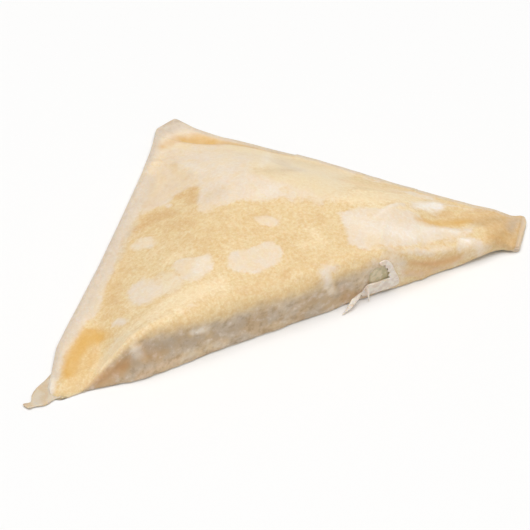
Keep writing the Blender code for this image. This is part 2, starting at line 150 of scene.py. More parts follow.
# Corner of an inner layer that shows past the rounded end, in X and Y
TAIL = [(-72, 12), (-75.9, 10.8), (-79.6, 8.6), (-83.6, 6.5), (-85.9, 4.6), (-87.3, 2.4), (-89.6, 2.5),
        (-88.8, 0.4), (-87.2, 0.4), (-84, -0.2), (-81, 0.6), (-76, 2)]
TAIL_HEIGHT = 0.28
TAIL_WAVE = 0.25  # its free end waves up by up to twice this much
TAIL_WAVE_SIZE = 3.2
TAIL_FREE = (-79.0, -88.0)  # it comes free of the parcel between these places along X

# The outermost points of the solids, which place this plan in the model's frame
TAIL_TIP_X = -89.6
APEX_Y = 91.0

# Mesh density
SHEET_STEP = 0.46
UNDER_STEP = 1.3
POCKET_STEP = 3.0
FILLING_STEP = 1.8
TEAR_STEP = 0.4
FINE_STEP = 0.3  # of the filling that shows in the tear
FINE_RADIUS = 4.8
PLY_STEP = 0.5
PLIES = 6  # in the open cut edges
ROWS_PER_PLY = 3
RING_CLEAR = 0.5  # share of a step that the inner points keep clear of an outline
GRID_ROW = sqrt(0.75)  # distance between the rows of an even grid of triangles of side 1
CURVE_SAMPLES = 24  # on each span of a smooth line, before it is sampled evenly
LEAST_SAMPLES = 8
FILL_INSIDE = 1  # kind of triangulation: only what the rings enclose
SAME_POINT = 1e-6  # points closer than this count as one


# ---------------- form of the dough

def smooth(low, high, value):
    """0 at low and 1 at high, with a level start and end."""
    t = np.clip((value - low) / (high - low), 0.0, 1.0)
    return t * t * (3.0 - 2.0 * t)


def curve(points, value):
    """A smooth line through (place, level) points, level beyond its ends."""
    places, levels = np.array(points).T
    slopes = np.gradient(levels, places)
    k = np.clip(np.searchsorted(places, value) - 1, 0, len(places) - 2)
    width = places[k + 1] - places[k]
    t = np.clip((value - places[k]) / width, 0.0, 1.0)
    start = levels[k] * (1.0 + 2.0 * t) * (1.0 - t) ** 2 + width * slopes[k] * t * (1.0 - t) ** 2
    end = levels[k + 1] * t * t * (3.0 - 2.0 * t) - width * slopes[k + 1] * t * t * (1.0 - t)
    return start + end


def swell(low, high, value):
    """0 at low and 1 at high: a short soft start, then a rounded shoulder."""
    t = np.clip((value - low) / (high - low), 0.0, 1.0)
    return np.sin(0.5 * pi * t) ** RISE_POWER


def from_fold(x, y):
    """Distance from the line of the rounded fold."""
    return (x - y + HALF) / ROOT2


def from_cut(x, y):
    """Distance from the line of the cut side."""
    return (HALF - x - y) / ROOT2


def along_fold(x, y):
    """Place along the rounded fold, from the tail end (negative) to the apex."""
    return (x + y) / ROOT2


def along_cut(x, y):
    """Place along the cut side, from the apex (negative) to the hem."""
    return (x - y) / ROOT2


def between(pair, share):
    """A value that runs from the pair's first number to its second."""
    return pair[0] + (pair[1] - pair[0]) * share


def lumps(x, y):
    """Low, uneven swells of the filling under the dough, between about -1 and 1."""
    bend = LUMP_BEND[0] * np.sin(y / LUMP_BEND[1])
    long = np.sin(x / LUMP_LONG[0] + bend) * np.cos(y / LUMP_LONG[1] + LUMP_PHASE[0])
    short = np.sin((x + y) / LUMP_SHORT[0] + LUMP_PHASE[1]) * np.cos((x - y) / LUMP_SHORT[1])
    return LUMP_SHARES[0] * long + LUMP_SHARES[1] * short


def underside(x, y):
    """Height of the underside: flat, with soft edges and a raised wing."""
    edge = np.minimum(from_fold(x, y), from_cut(x, y))
    start, peak, end = WING_LIFT_AT
    place = along_cut(x, y)
    wing = smooth(start, peak, place) * (1.0 - smooth(peak, end, place))
    wing = wing * smooth(0.0, WING_LIFT_WIDTH, from_cut(x, y))
    return EDGE_LIFT * (1.0 - smooth(0.0, EDGE_LIFT_WIDTH, edge)) + WING_LIFT * wing


def seam_height(x, y):
    """Thickness of the stacked dough alone, thinner towards the corners."""
    height = SEAM
    places = (x, along_cut(x, y), y)
    for (less, start, end), place in zip((THINNER_TAIL, THINNER_HEM, THINNER_APEX), places):
        height = height - less * smooth(start, end, place)
    return height


def upper(x, y):
    """Height of the top of the parcel, without the roll into the front wall."""
    tail_end = smooth(*FOLD_CHANGE, along_fold(x, y))
    flat, full = between(FOLD_MARGIN, tail_end), between(FOLD_RISE_END, tail_end)
    rise_fold = swell(flat, full, from_fold(x, y))
    near_apex = smooth(*CUT_CHANGE, along_cut(x, y))
    rise_cut = swell(between(CUT_MARGIN, near_apex), CUT_RISE_END, from_cut(x, y))
    rise = rise_fold * rise_cut * curve(WING, along_cut(x, y))
    seam = seam_height(x, y)
    filled = FULL_HEIGHT - seam + LUMP * lumps(x, y)
    return seam + filled * rise + underside(x, y) * (1.0 - rise)


def front_line(x):
    """Y of the front wall at its crest."""
    return HEM_DROOP * smooth(DROOP_START, FRONT_SIDE[-1][0], x)


def crest_radius(x):
    """Radius of the roll into the front wall."""
    roll = curve(CREST_RADIUS, x)
    radius = np.minimum(roll, CREST_SHARE * upper(x, front_line(x) + 0.5 * roll))
    wall = smooth(*WALL_START, x) * smooth(*WALL_END, x)
    return CREST_LEAST + (radius - CREST_LEAST) * wall


def wall_height(x, inset=0.0):
    """Height of the upright part of the front wall, between the roll and the foot."""
    radius = crest_radius(x)
    crest = upper(x, front_line(x) + radius)
    foot = underside(x, front_line(x)) + FOOT_RADIUS
    return np.maximum(crest - radius - foot - inset, 0.0)


def wall_run(x, inset=0.0):
    """Length of dough from the start of the roll, over it and down to the foot."""
    return 0.5 * pi * (crest_radius(x) - inset) + wall_height(x, inset)


def drape(x, v, inset=0.0):
    """Points of the upper dough. v is Y on top, and runs on down the front wall below the roll."""
    front = front_line(x)
    radius = crest_radius(x)
    turn = np.maximum(radius - inset, TURN_LEAST)
    over = np.maximum(front + radius - v, 0.0)
    angle = np.minimum(over / turn, 0.5 * pi)
    straight = np.maximum(over - 0.5 * pi * turn, 0.0)
    on_top = over <= 0.0
    crest = upper(x, front + radius)
    down = straight / np.maximum(wall_height(x, inset), LOW_WALL)
    sag = curve(FOOT_BELLY, x) * smooth(0.0, 1.0, down)
    y = np.where(on_top, v, front + radius - turn * np.sin(angle) + sag)
    z = np.where(on_top, upper(x, v) - inset, crest - radius + turn * np.cos(angle) - straight)
    return np.stack([x, y, z], axis=-1)


def wall_v(x, z, inset=0.0):
    """The sheet's own coordinate v of a point on the front wall or its roll, from X and Z."""
    radius = crest_radius(x)
    turn = radius - inset
    spring = upper(x, front_line(x) + radius) - radius
    angle = np.arccos(np.clip((z - spring) / radius, 0.0, 1.0))
    return front_line(x) + radius - turn * angle - np.maximum(spring - z, 0.0)


# ---------------- random and drawn fields

NOISE_TABLE = 256  # random values along each side of the table that noise is read from
ROUGH_SPAN = 1.4  # brings three sizes of noise back to about -1 to 1
TINY = 1e-9  # keeps a side of no length from being divided by


def noise(x, y, size, seed):
    """Smooth random values between -1 and 1, with bumps about `size` across."""
    draw = np.random.default_rng(seed)
    table = draw.uniform(-1.0, 1.0, (NOISE_TABLE, NOISE_TABLE))
    turn = draw.uniform(0.0, pi)
    u = (x * np.cos(turn) + y * np.sin(turn)) / size + 2.0 * NOISE_TABLE
    v = (y * np.cos(turn) - x * np.sin(turn)) / size + 2.0 * NOISE_TABLE
    i, j = np.floor(u).astype(int), np.floor(v).astype(int)
    s, t = smooth(0.0, 1.0, u - i), smooth(0.0, 1.0, v - j)
    i, j = i % (NOISE_TABLE - 1), j % (NOISE_TABLE - 1)
    near = table[i, j] * (1.0 - s) + table[i + 1, j] * s
    far = table[i, j + 1] * (1.0 - s) + table[i + 1, j + 1] * s
    return near * (1.0 - t) + far * t


def rough(x, y, size, seed):
    """Three sizes of noise added up, each half as large and half as strong as the last."""
    total = (noise(x, y, size, seed) + 0.5 * noise(x, y, size / 2, seed + 1)
             + 0.25 * noise(x, y, size / 4, seed + 2))
    return total / ROUGH_SPAN


def waves(rows, x, y):
    """Noise of several sizes added up, from rows of (height, size, seed)."""
    return sum(height * noise(x, y, size, seed) for height, size, seed in rows)


def inside(ring, points):
    """Which points lie in the closed ring."""
    x, y = points[:, 0], points[:, 1]
    hit = np.zeros(len(points), dtype=bool)
    for (x0, y0), (x1, y1) in zip(ring, np.roll(ring, -1, axis=0)):
        crosses = (y0 > y) != (y1 > y)
        at = x0 + (y - y0) * (x1 - x0) / (y1 - y0 if y1 != y0 else 1.0)
        hit ^= crosses & (x < at)
    return hit


def distance_to(ring, points):
    """Distance from each point to the nearest side of the closed ring."""
    best = np.full(len(points), np.inf)
    for start, end in zip(ring, np.roll(ring, -1, axis=0)):
        side = end - start
        t = np.clip(((points - start) @ side) / max(side @ side, TINY), 0.0, 1.0)
        gap = points - start - t[:, None] * side
        best = np.minimum(best, gap[:, 0] ** 2 + gap[:, 1] ** 2)
    return np.sqrt(best)


def area(outline, x, v):
    """Distance into a drawn area: positive inside it and negative outside."""
    points = np.column_stack([x, v])
    ring = np.array(outline)
    return np.where(inside(ring, points), 1.0, -1.0) * distance_to(ring, points)


def stroke(line, x, v):
    """Distance into a brush stroke, given as (x, v, radius) along it."""
    best = np.full(len(x), -np.inf)
    for (x0, v0, r0), (x1, v1, r1) in zip(line, line[1:] or line):
        squared = max((x1 - x0) ** 2 + (v1 - v0) ** 2, TINY)
        t = np.clip(((x - x0) * (x1 - x0) + (v - v0) * (v1 - v0)) / squared, 0.0, 1.0)
        away = np.hypot(x - x0 - t * (x1 - x0), v - v0 - t * (v1 - v0))
        best = np.maximum(best, r0 + (r1 - r0) * t - away)
    return best


def from_line(line, x, v):
    """Distance from an open line."""
    return -stroke([(*point[:2], 0.0) for point in line], x, v)


def on_wall(line):
    """An outline given by X and Z on the front wall, in the sheet's own X and v."""
    return [(x, float(wall_v(x, z))) for x, z in line]


# ---------------- what shows on the dough

# The next layer's strip that shows past the cut hem
HEM_STRIP = [(78, 8), (74.4, 3.7), (71.8, 0.7), (69.9, -1.7), (69, -6), (85, -6), (85, 14), (79.7, 10.6)]

# Marks on the sheet: how strong, how soft the border is, and an outline of (X, v) points or a
# brush stroke of (X, v, radius) points. v is Y on top, and falls to about -13 at the wall's foot.
MARKS = {
    # cream yellow, where little of the filling shows through
    "light": [
        (0.8, 3, [(-55, 7, 2.4), (-45, 8, 4), (-33, 8.2, 4.2), (-25, 8.6, 2.8)]),
        (0.95, 2.2, [(-68, 1.4), (-67, 5), (-63.4, 7.4), (-60, 8.6), (-57, 6.6), (-52, 3), (-57, 1.6),
         (-63, 1.4)]),
        (0.75, 2.4, [(-34.6, 26.4, 1.2), (-30, 27.2, 2.4), (-25.6, 25, 1.2)]),
        (0.6, 2, [(-50.6, 13.6, 1.6), (-49, 18, 1.4)]),
        (0.6, 2.2, [(-53, 4, 1.2), (-45, 4, 2), (-37, 3.8, 1.6)]),
        (0.4, 2.2, [(-36, 33.6, 1.4), (-30, 34.6, 2)]),
        (0.6, 2.4, [(4, 13.4, 1.6), (9.6, 12.6, 2.4), (9, 17.6, 2.2)]),
        (0.95, 3, [(22, 27, 1.6), (28, 24.6, 3.6), (36, 23.6, 4.8), (44, 22.6, 4.2), (51, 26, 3)]),
        (0.95, 2, [(30, 17.6, 2), (35, 16, 2.6), (42, 15.6, 2.4)]),
        (0.85, 3, [(26, 33, 2.6), (34, 36, 4), (39, 31.6, 3.4), (46, 30, 2.4)]),
        (0.5, 2, [(-14, 60, 1.4), (-15, 66, 1.4)]),
    ],
    # whitish and waxy, where the top layer lies loose, and painted light at the wall's foot
    "pale": [
        (0.84, 1.5, [(-26.3, 55.3), (-21.6, 54.2), (-19.4, 52), (-15.6, 54.9), (-11.4, 54), (-9.3, 51.3),
         (-12, 47.7), (-14.5, 44), (-15.8, 40.2), (-14.2, 38.6), (-8.4, 37.7), (-3.7, 36.8), (1.6, 33.5),
         (7.7, 33.6), (13.4, 29.6), (17, 29.6), (19, 40), (21, 70), (10, 95), (-10, 95)]),
        (0.95, 4.2, [(10, 31), (18, 26.4), (26, 26), (31, 33), (34, 41), (46, 46), (34, 66), (14, 88),
         (6, 70)]),
        (1.05, 2.6, [(-2, 74.6), (6.3, 70.6), (10.2, 65.3), (8.4, 56), (6, 49), (6, 42), (9, 36),
         (1.6, 34.4), (-1.4, 38.6), (-8.4, 38.4), (-14.6, 38.6), (-13.4, 44), (-9.6, 48.6), (-6.2, 58),
         (-5, 69)]),
        (0.9, 1.5, [(-20.5, 60), (-27, 55.6), (-32.6, 51.4), (-38.3, 46), (-43.1, 39.6), (-48.7, 32.6),
         (-52.7, 27.2), (-57, 22.4), (-61.6, 20.6), (-66.5, 16.6), (-72.2, 13), (-76.2, 7.6),
         (-78.4, 4.4), (-80.2, 2.8), (-84, 1.6), (-90, 1.6), (-90, 20), (-20, 80)]),
        (0.6, 2.2, [(37, 46.6, 0.8), (43, 41.6, 1.6), (48, 36.6, 0.8)]),
        (1.0, 0.4, HEM_STRIP),
        (0.95, 1.6, [(-36, 43.5), (-32.6, 44.4), (-29.8, 41.5), (-29.6, 37.6), (-32.1, 36.8),
         (-35.8, 39.4)]),
        (1.0, 2.2, [(-48.4, 17), (-48, 20.6), (-46.2, 24), (-43.6, 25.8), (-40.6, 25.8), (-39.4, 21.6),
         (-39.4, 17), (-40, 13.4), (-44.6, 12.8), (-47.4, 14.6)]),
        (0.8, 2.4, [(-41, 13.2), (-40.2, 21.6), (-36.2, 22.8), (-32.4, 20.6), (-32.8, 14.4),
         (-36.6, 12.6)]),
        (1.1, 1.8, [(-34, 23), (-31, 24.8), (-28.4, 23.6), (-26, 21.9), (-23.2, 21.4), (-22, 19.4),
         (-24, 15.6), (-28, 13.4), (-32.4, 12.8), (-34.4, 16), (-33, 20)]),
        (1.2, 1.4, [(-20.4, 13.8), (-18, 17), (-15.6, 18.4), (-13.4, 18.4), (-11, 17.6), (-8, 18.2),
         (-5.4, 19), (-3.2, 17.8), (-2.6, 14.6), (-3, 12), (-4.8, 10.2), (-7.6, 8.9), (-11, 8.5),
         (-14.5, 8.7), (-17.2, 10.2), (-19.2, 12)]),
        (1.1, 1.2, [(-3.6, 28.6), (-1, 28.4), (1.8, 27.2), (3, 25.2), (1.6, 23.2), (-0.8, 23.2),
         (-2.6, 24.4), (-3.8, 26.6)]),
        (1.2, 1.8, [(20.7, 20.6), (25.4, 20), (31, 17.6), (37, 16), (43.6, 14.4), (44.6, 11.8), (51, 10),
         (56, 7.6), (56, 4.8), (47, 4.8), (40, 4.2), (33, 3.4), (27.8, 4), (20.6, 4), (17.3, 8.3),
         (19.4, 13.1)]),
        (0.9, 1, [(29, 14, 0.8), (32.6, 16, 0.9), (41, 18.6, 0.8)]),
        (0.95, 2, [(45, 18.6, 1.6), (50, 20, 2.8), (55.6, 21.6, 2.6)]),
        (0.85, 2.2, [(53, 5, 1), (57.4, 6.4, 2.2), (59.6, 8.2, 1.2)]),
        (0.55, 2, [(33, 3.6, 1), (42, 3.8, 1.2), (51, 4.2, 1)]),
        (0.75, 1.4, [(51, 0.4, 1.2), (54.4, 3, 1.8), (57, 0.4, 2), (58.6, -2.6, 1.8)]),
        (0.7, 1.3, [(30.6, 1.8, 0.8), (37.8, 1.2, 1.3), (48, 1.2, 1.3)]),
        (0.48, 2.2, [(33, 2.4, 1.2), (40, 2.8, 1.6), (48, 2.8, 1.6)]),
        (0.55, 1.8, [(31, -1, 1.2), (32.6, -6.6, 1.8), (40, -6.6, 1.4), (47, -5.4, 1)]),
        (0.6, 1.8, [(49, -4.6, 1.4), (54, -2.4, 1.8), (60.4, -2.2, 1.7)]),
        (0.65, 2.2, [(44, 30, 1), (50, 28.8, 1.8), (56, 24.6, 2.2), (60, 20, 1)]),
        (0.7, 1.1, [(59, 21.4, 0.6), (63, 18.4, 0.9), (68.6, 14.6, 0.6)]),
        (0.35, 2, [(-39, 44, 1.2), (-34, 47.6, 1.8), (-30.6, 47, 1)]),
        (0.8, 0.9, [(-20.2, 55, 0.9), (-19.4, 51.4, 0.9)]),
        (0.62, 2.2, [(-62.6, 4.6, 0.8), (-60.4, 6.6, 1.6), (-58.2, 7, 1.6), (-55.4, 4.2, 1),
         (-52.6, 4, 0.8)]),
        (0.8, 1.4, [(-54.6, 14.6, 1.6), (-53.6, 12.6, 1.4)]),
        (0.55, 1.6, [(-38.6, 3.2, 0.8), (-35.4, 4.2, 1.2)]),
        (0.7, 1.6, [(4.6, 1.6, 1.6), (8.6, 2, 1.8)]),
        (0.8, 1.5, [(6, 0.6, 1.4), (5.6, -3, 1.6), (7.6, -7, 1.6)]),
        (0.95, 1.3, [(-57.2, 0.2, 0.8), (-55.8, -1.9, 1.7), (-54.8, -4.2, 1.3), (-53.6, -6.4, 0.8)]),
        (0.85, 1.4, [(-38.8, -4.2, 0.8), (-36, -4.6, 1.5), (-33.8, -5, 1.1), (-33.4, -6.8, 0.6)]),
        (0.62, 1.6, [(24.6, 1, 1.1), (28.6, 0, 1.7), (30.8, -2.8, 1.4)]),
        (0.66, 1.8, [(23, 3.8, 1), (26.4, 3.6, 1.6), (29.4, 1.8, 1.2)]),
        (0.58, 2.2, [(16.4, -5.4, 1.2), (19, -3, 1.8), (22.6, -1, 1.7), (27, 2.4, 1.4)]),
        (0.5, 1.6, [(-10, -4.6, 1), (-7, -5.6, 0.8)]),
        # painted light: the wall's foot lighter, where light bounces up from the table
        (0.6, 1.8, [(-60, -10.6, 1), (-50, -11.8, 1.4), (-40, -12, 1.5), (-28, -11.6, 1.4)]),
        (0.35, 1.8, [(-12, -11.6, 1.2), (-7, -11.6, 1.2)]),
        (0.45, 1.6, [(15.6, -9.4, 1), (17.6, -8.6, 1)]),
        (0.5, 1.6, [(28.6, -11.8, 1), (37, -11, 1)]),
    ],
    # yellowish cream, where a loose layer lets some of the gold through
    "cream": [
        (0.9, 3.2, [(5.6, 47), (8.4, 41), (14, 36), (18, 28), (24, 25), (34, 30), (42, 42), (34, 56),
         (16, 77), (10.4, 72), (10.6, 62), (9, 54)]),
        (0.55, 3, [(3.6, 72.6, 2.4), (7.6, 68, 2.4), (8, 62, 1.8)]),
        (0.6, 2, [(-11, 77, 0.8), (-9.4, 68, 1.6), (-9.8, 60, 1.2)]),
        (0.7, 2.4, [(-7, 80.4, 1), (-4, 79.4, 1.8), (0.6, 77.6, 1.8)]),
        (0.45, 3, [(-24, 58.6, 1.4), (-17, 63.6, 2.6), (-14, 69, 2)]),
        (0.75, 2.4, [(-38.6, 15, 1), (-37, 20, 1.8), (-33, 22.6, 1.4)]),
        (0.5, 2, [(-44, 13.6, 1.2), (-36, 14, 1.4), (-29, 14, 1)]),
        (0.9, 2.4, [(-64, 4.4, 1.2), (-60.4, 6.4, 2), (-56, 4.8, 1.8), (-52.6, 4, 1)]),
        (0.45, 2.4, [(-18, 13.4, 1), (-12, 14.6, 2), (-6, 15.6, 1.6)]),
    ],
    # nearly white, where it stands clear of the layers below, and a painted highlight on the wing
    "white": [
        (0.3, 2, [(-28.4, 16.4, 1.8), (-25.4, 18.8, 2.2)]),
        (0.14, 2, [(-46, 19.4, 1), (-41, 16.6, 1.6), (-36, 16.6, 1)]),
        (0.34, 1.4, [(9.6, 48.6, 0.7), (12.8, 52, 1.2), (17.4, 58.6, 1.2), (20, 63, 0.6)]),
        (0.28, 2, [(2.6, 36.8, 1.6), (7.6, 37.2, 1.8)]),
        (0.16, 3, [(-3, 50, 1.6), (0, 56, 3), (2, 66, 2.6)]),
        (0.8, 1.2, [(-57.4, -0.4, 0.7), (-56, -2, 1.4), (-54.8, -4.4, 0.9)]),
        (0.72, 1.2, [(-38, -4.4, 0.5), (-36, -4.7, 1.1), (-34, -5.2, 0.7)]),
        (0.45, 1.4, [(5.4, 1.2, 1), (5.6, -3, 1.2), (7.6, -6.6, 1)]),
        (0.3, 1.6, [(-5.6, 66, 1), (-4.6, 58, 1.2)]),
        (0.32, 2.4, [(22.6, 16.6, 2.2), (26, 10, 3.2), (31, 9.6, 2.6)]),
        (0.6, 2.4, [(31, 8.6, 2.2), (37, 7, 2.2), (43.4, 8.2, 2), (47, 8, 1)]),
        (0.45, 1, [(29, 14.4, 0.5), (33, 16.2, 0.6), (39.6, 18.4, 0.5)]),
        # painted highlight: the bright glint on the wing
        (0.95, 1.8, [(46, 18.2, 0.9), (50, 19.2, 2.4), (55.2, 20.6, 1.9)]),
        (0.75, 0.9, [(53, 3.4, 0.7), (54.6, 2.2, 0.8)]),
        (0.35, 2, [(54, 0, 1), (58.4, -1.6, 1.4)]),
        (0.5, 1.1, [(47, 9.4, 0.6), (53.4, 6.6, 0.9)]),
        (0.45, 1.2, [(-78, 7.6, 0.9), (-79.6, 4.8, 1.1)]),
        (0.45, 1.3, [(27, -1.6, 0.8), (30.2, -5, 1.2), (31.2, -9, 1)]),
    ],
    # tan, where the dough is doubled or turns down, and painted shade where the top tilts away from the
    # light
    "tan": [
        (0.85, 2.2, [(-31.6, 49.6, 1.4), (-25, 50.6, 2.4), (-21, 47, 2.4)]),
        (0.85, 2, [(-15.6, 52.6, 1.2), (-11.6, 52.4, 1.6), (-14.6, 47, 2)]),
        (0.5, 2.6, [(-24, 43, 2.6), (-20.6, 37.6, 2.6)]),
        (0.55, 2.2, [(-55.6, 19.6, 1.4), (-52, 22.6, 2), (-46.6, 30.6, 1.8), (-41, 38.6, 1.6)]),
        (0.4, 2.2, [(-12, 36, 1), (-2, 34.6, 1.4), (5, 31.4, 1)]),
        # painted shade: the top here tilts away from the light
        (0.3, 3.2, [(-20, 31.6, 3), (0, 28, 3), (14, 24, 3), (15, 10, 2.6)]),
        (0.54, 3.2, [(-21, 4.4, 1.8), (-12, 4.4, 2.8), (-6, 4.6, 1.8)]),
        (0.34, 3, [(-4, 4.6, 1.8), (4, 4.6, 2.2), (14, 4.6, 2)]),
        (0.45, 1.5, [(-48, -0.2, 0.7), (-36, -0.6, 0.8), (-10, -1, 0.9), (18, -0.8, 0.8)]),
        (0.4, 2.2, [(15.6, 10, 1.4), (15.4, 6.4, 1.2)]),
        (0.3, 1.5, [(-9.6, 75.6, 0.6), (-9, 68, 0.9), (-9.8, 61, 0.6)]),
        (0.34, 2.2, [(-27, 57.6), (-21, 64), (-14.6, 72), (-9, 78.6), (-3, 77.6), (-4.6, 71), (-7.6, 65),
         (-7.4, 57), (-9.4, 51.6), (-15, 54.6), (-21, 54.4)]),
        (0.3, 1.6, [(9.4, 42, 0.8), (12, 50, 1.4), (11.6, 60, 1.6), (9, 68, 1)]),
        (0.66, 2.2, [(-6.4, 80.6, 1.8), (0, 82.6, 2.2), (3, 79, 2.2), (10, 74, 1.6)]),
        (0.75, 1.5, [(10, 76, 1.8), (14, 72.4, 1.5), (20, 66.2, 1), (27, 59.2, 0.6)]),
        (0.72, 3, [(60, 15), (61, 9.6), (64, 5.6), (60.6, 2), (64, -4), (73, -4), (82, 8), (77, 14),
         (67, 17.6)]),
        (0.75, 1.8, [(56, 12.2, 1.2), (62, 12.6, 1.8), (65, 8.4, 2.4)]),
        (0.62, 2.2, [(50, 15.2, 1.2), (56.6, 16.8, 2), (60.6, 18.6, 1.2)]),
    ],
    # deep gold
    "deep": [
        (0.9, 1.7, [(-76, 4.8), (-74.6, 9), (-72, 12), (-68.6, 15.2), (-64.4, 18.6), (-62, 19.8),
         (-59.4, 18.2), (-58, 14), (-59.4, 11.6), (-63, 12), (-67, 10.2), (-70.6, 6.8), (-73, 4.6)]),
        (1.0, 1.4, [(-74, 7.6, 0.8), (-71.6, 10.4, 1)]),
        (0.4, 2.6, [(-74.4, 3, 1.4), (-70, 4.6, 2.4), (-65.6, 8.6, 2.6)]),
        (0.5, 1.8, [(-60.6, 12.4, 1.2), (-58.6, 12.6, 1)]),
        (1.0, 1.6, [(-68, 13, 0.8), (-62.6, 15.8, 1.4)]),
        (0.74, 2.2, [(1.4, 81.4, 1), (5.2, 79.4, 2.6), (8.8, 77.2, 1.8)]),
        (0.34, 3, [(31, 38, 1.4), (36, 35, 2.8), (42, 31.4, 2), (46, 29.6, 1)]),
        (0.78, 1.7, [(43, 12, 0.7), (49, 11.2, 1.5), (56, 11.2, 1.4), (60.6, 11.2, 0.8)]),
        (0.22, 1.8, [(62, 2.4, 1), (66.4, 2, 1.6), (69.6, 3.4, 1.2)]),
    ],
    # rusty brown, on the turned edge
    "rust": [
        (0.9, 1.7, [(34, -2.4, 1), (39, -2.8, 1.8), (46, -3, 1.6), (51, -2.6, 0.9)]),
        (0.5, 1.6, [(32, -6.6, 1.2), (40, -5.8, 1.4), (47, -4.6, 1.2)]),
        (0.74, 1.8, [(-70, 0.2, 0.8), (-65.6, -0.6, 1.2), (-61.8, -1.8, 1.8), (-59.4, -4, 1.4)]),
        (0.3, 1.6, [(-56, -10.6, 1.2), (-44, -11.6, 1)]),
        (0.3, 2.2, [(-54.6, -1.4, 1.2), (-52.6, -5, 2), (-50, -7.4, 1.6)]),
        (0.4, 1.8, [(11, -6.6, 1.2), (12.6, -10.6, 1.2), (17.6, -10.8, 1.4)]),
    ],
    # the grey of the filling, seen through the front wall, and painted shade that darkens the whole wall
    # below the roll
    "filling_and_shade": [
        (0.96, 0.7, [(-73, -0.4), (-69, 0.7), (-66, 1.2), (-62, 1.3), (-57, 1), (-53, 0.2), (-52, -3),
         (-52, -16), (-76, -16)]),
        (0.96, 2.8, [(-60, 0.6), (-52, -0.2), (-46, -1.4), (-36, -2.4), (-20, -2.8), (0, -2.6),
         (10, -2.4), (18, -1.8), (24, -1.8), (27, -5), (29, -18), (-62, -18)]),
    ],
    # in shade, or with dark leaves close behind
    "dark": [
        (0.6, 1.7, [(-52, -3.6, 0.8), (-49.6, -5.6, 1.4), (-43, -6.6, 1.2), (-39.6, -7.4, 0.8)]),
        (0.65, 1.7, [(-31, -8.4, 0.8), (-21, -7.2, 1.4), (-14.6, -7.2, 1)]),
        (0.5, 1.7, [(-3, -7.4, 0.8), (1.6, -7.4, 1.2)]),
        (0.5, 1.6, [(-39, -7.4, 1.1), (-34, -6.6, 1.5), (-31.4, -4.8, 1.2)]),
        (0.45, 1.6, [(-50.6, -5, 1.2), (-50, -7.6, 1.3)]),
        (0.45, 1.8, [(10, -4.6, 1.2), (10.4, -7.6, 1.5), (5, -11.4, 1.3), (-2, -11.6, 1)]),
        (0.5, 2.6, [(-59, -3, 1.2), (-50, -5.4, 2.8), (-41, -5.4, 2.2)]),
        (0.46, 2.2, [(-21, -7.4, 1.8), (-14, -8, 1.4)]),
        (0.4, 2.2, [(-4, -4.6, 0.8), (1.6, -5, 2), (2, -8.4, 1.8), (10.6, -8, 2), (16, -10.4, 0.8)]),
        (0.6, 1.8, [(-67, -0.8, 1), (-62, -2, 1.8), (-58.6, -4.6, 1.8), (-52, -6.4, 1.8)]),
        (0.62, 1.4, [(-60, -0.4, 0.8), (-58.8, -2.4, 1)]),
        (0.55, 1.5, [(-53.2, -0.8, 0.7), (-51.6, -3.6, 1.3), (-51.2, -6.4, 1.2)]),
        (0.4, 0.8, [(-67, 0.2, 0.3), (-60, 0, 0.4)]),
        (0.6, 2.4, [(64, 1, 1.4), (67, 2, 2.2), (71, 4.6, 2), (76.6, 9, 1.4)]),
        (0.45, 2.4, [(62, 9, 1.2), (68, 9.4, 2.6), (74, 9.8, 1.4)]),
        (0.55, 0.6, [(79.4, 9.9, 0.2), (77.7, 8.1, 0.4), (74.1, 3.8, 0.4), (71.4, 0.8, 0.4),
         (69.7, -1.4, 0.4)]),
        (0.45, 1.2, [(-1, 89.4, 1), (3, 89.4, 1)]),
        (0.22, 1.6, [(-3, 87, 1.4), (2, 87, 1.4)]),
        (0.3, 3, [(-11.4, 42.6, 1.4), (-7, 44.2, 1.6)]),
        (0.34, 2.6, [(7.6, 46, 1.4), (13, 44.8, 2.2), (19, 45.6, 1.4)]),
        (0.26, 3, [(17, 49, 0.8), (23, 57.6, 2), (28, 54, 2.6), (36, 50, 1.6)]),
        (0.5, 1, [(18, 68.2, 0.7), (19, 67.2, 0.7)]),
        (0.45, 1, [(22.4, 64.2, 0.6), (24, 62.8, 0.6)]),
        (0.25, 1.6, [(12, 73.4, 1), (26, 60.6, 0.8)]),
        (0.3, 1.8, [(25.6, 1.8, 0.9), (29.6, 0.6, 1.6), (32, -2, 1)]),
    ],
    # a film of dough with only the pale table under it; along the folded side also painted shade on its
    # roll
    "thin": [
        (0.5, 0.4, HEM_STRIP),
        (0.95, 1.6, [(-4.4, 84.6), (1, 85.6), (4.6, 85.4), (8, 92), (-8, 92), (-12, 80), (-17.6, 71.6),
         (-15.4, 72), (-9, 79.4)]),
        # along the folded side: a thin film, strengthened as painted shade where the roll faces away
        # from the light
        (0.8, 1.9, [(-17, 69.4, 2.2), (-29.4, 56.6, 2.8), (-45.6, 40.2, 2.8), (-61, 25.2, 2.2),
         (-73, 14.8, 1.6), (-77, 8.6, 1.2)]),
        (0.9, 0.7, [(4.6, 86, 0.7), (12.7, 76, 0.7), (21.3, 66.6, 0.7), (34, 54, 0.7), (42.9, 44, 0.7),
         (51.1, 34.2, 0.7), (66.8, 18.4, 0.7), (76, 10.4, 0.6)]),
        (0.25, 2.4, [(13, 62, 1.4), (18, 54, 2.4), (21, 46, 2)]),
        (0.72, 2.2, [(72, 5, 0.8), (76.4, 9.2, 1.8)]),
    ],
}
WANDER = 0.42  # how far a border wanders, for each mm that it is soft
WANDER_SIZE = 4.0


def mark_depth(line, x, v):
    """Distance into a mark, whether it is a brush stroke or an outline."""
    return stroke(line, x, v) if len(line[0]) == 3 else area(line, x, v)


def paint(x, v):
    """How strongly each mark shows at points of the sheet, from 0 to 1, by name."""
    wander = WANDER * rough(x, v, WANDER_SIZE, 3)
    shown = {}
    for name, rows in MARKS.items():
        shown[name] = np.zeros(len(x))
        for strength, softness, line in rows:
            depth = mark_depth(line, x, v) + softness * wander
            shown[name] = np.maximum(shown[name], strength * smooth(-softness, softness, depth))
    return shown


# ---------------- relief of the dough

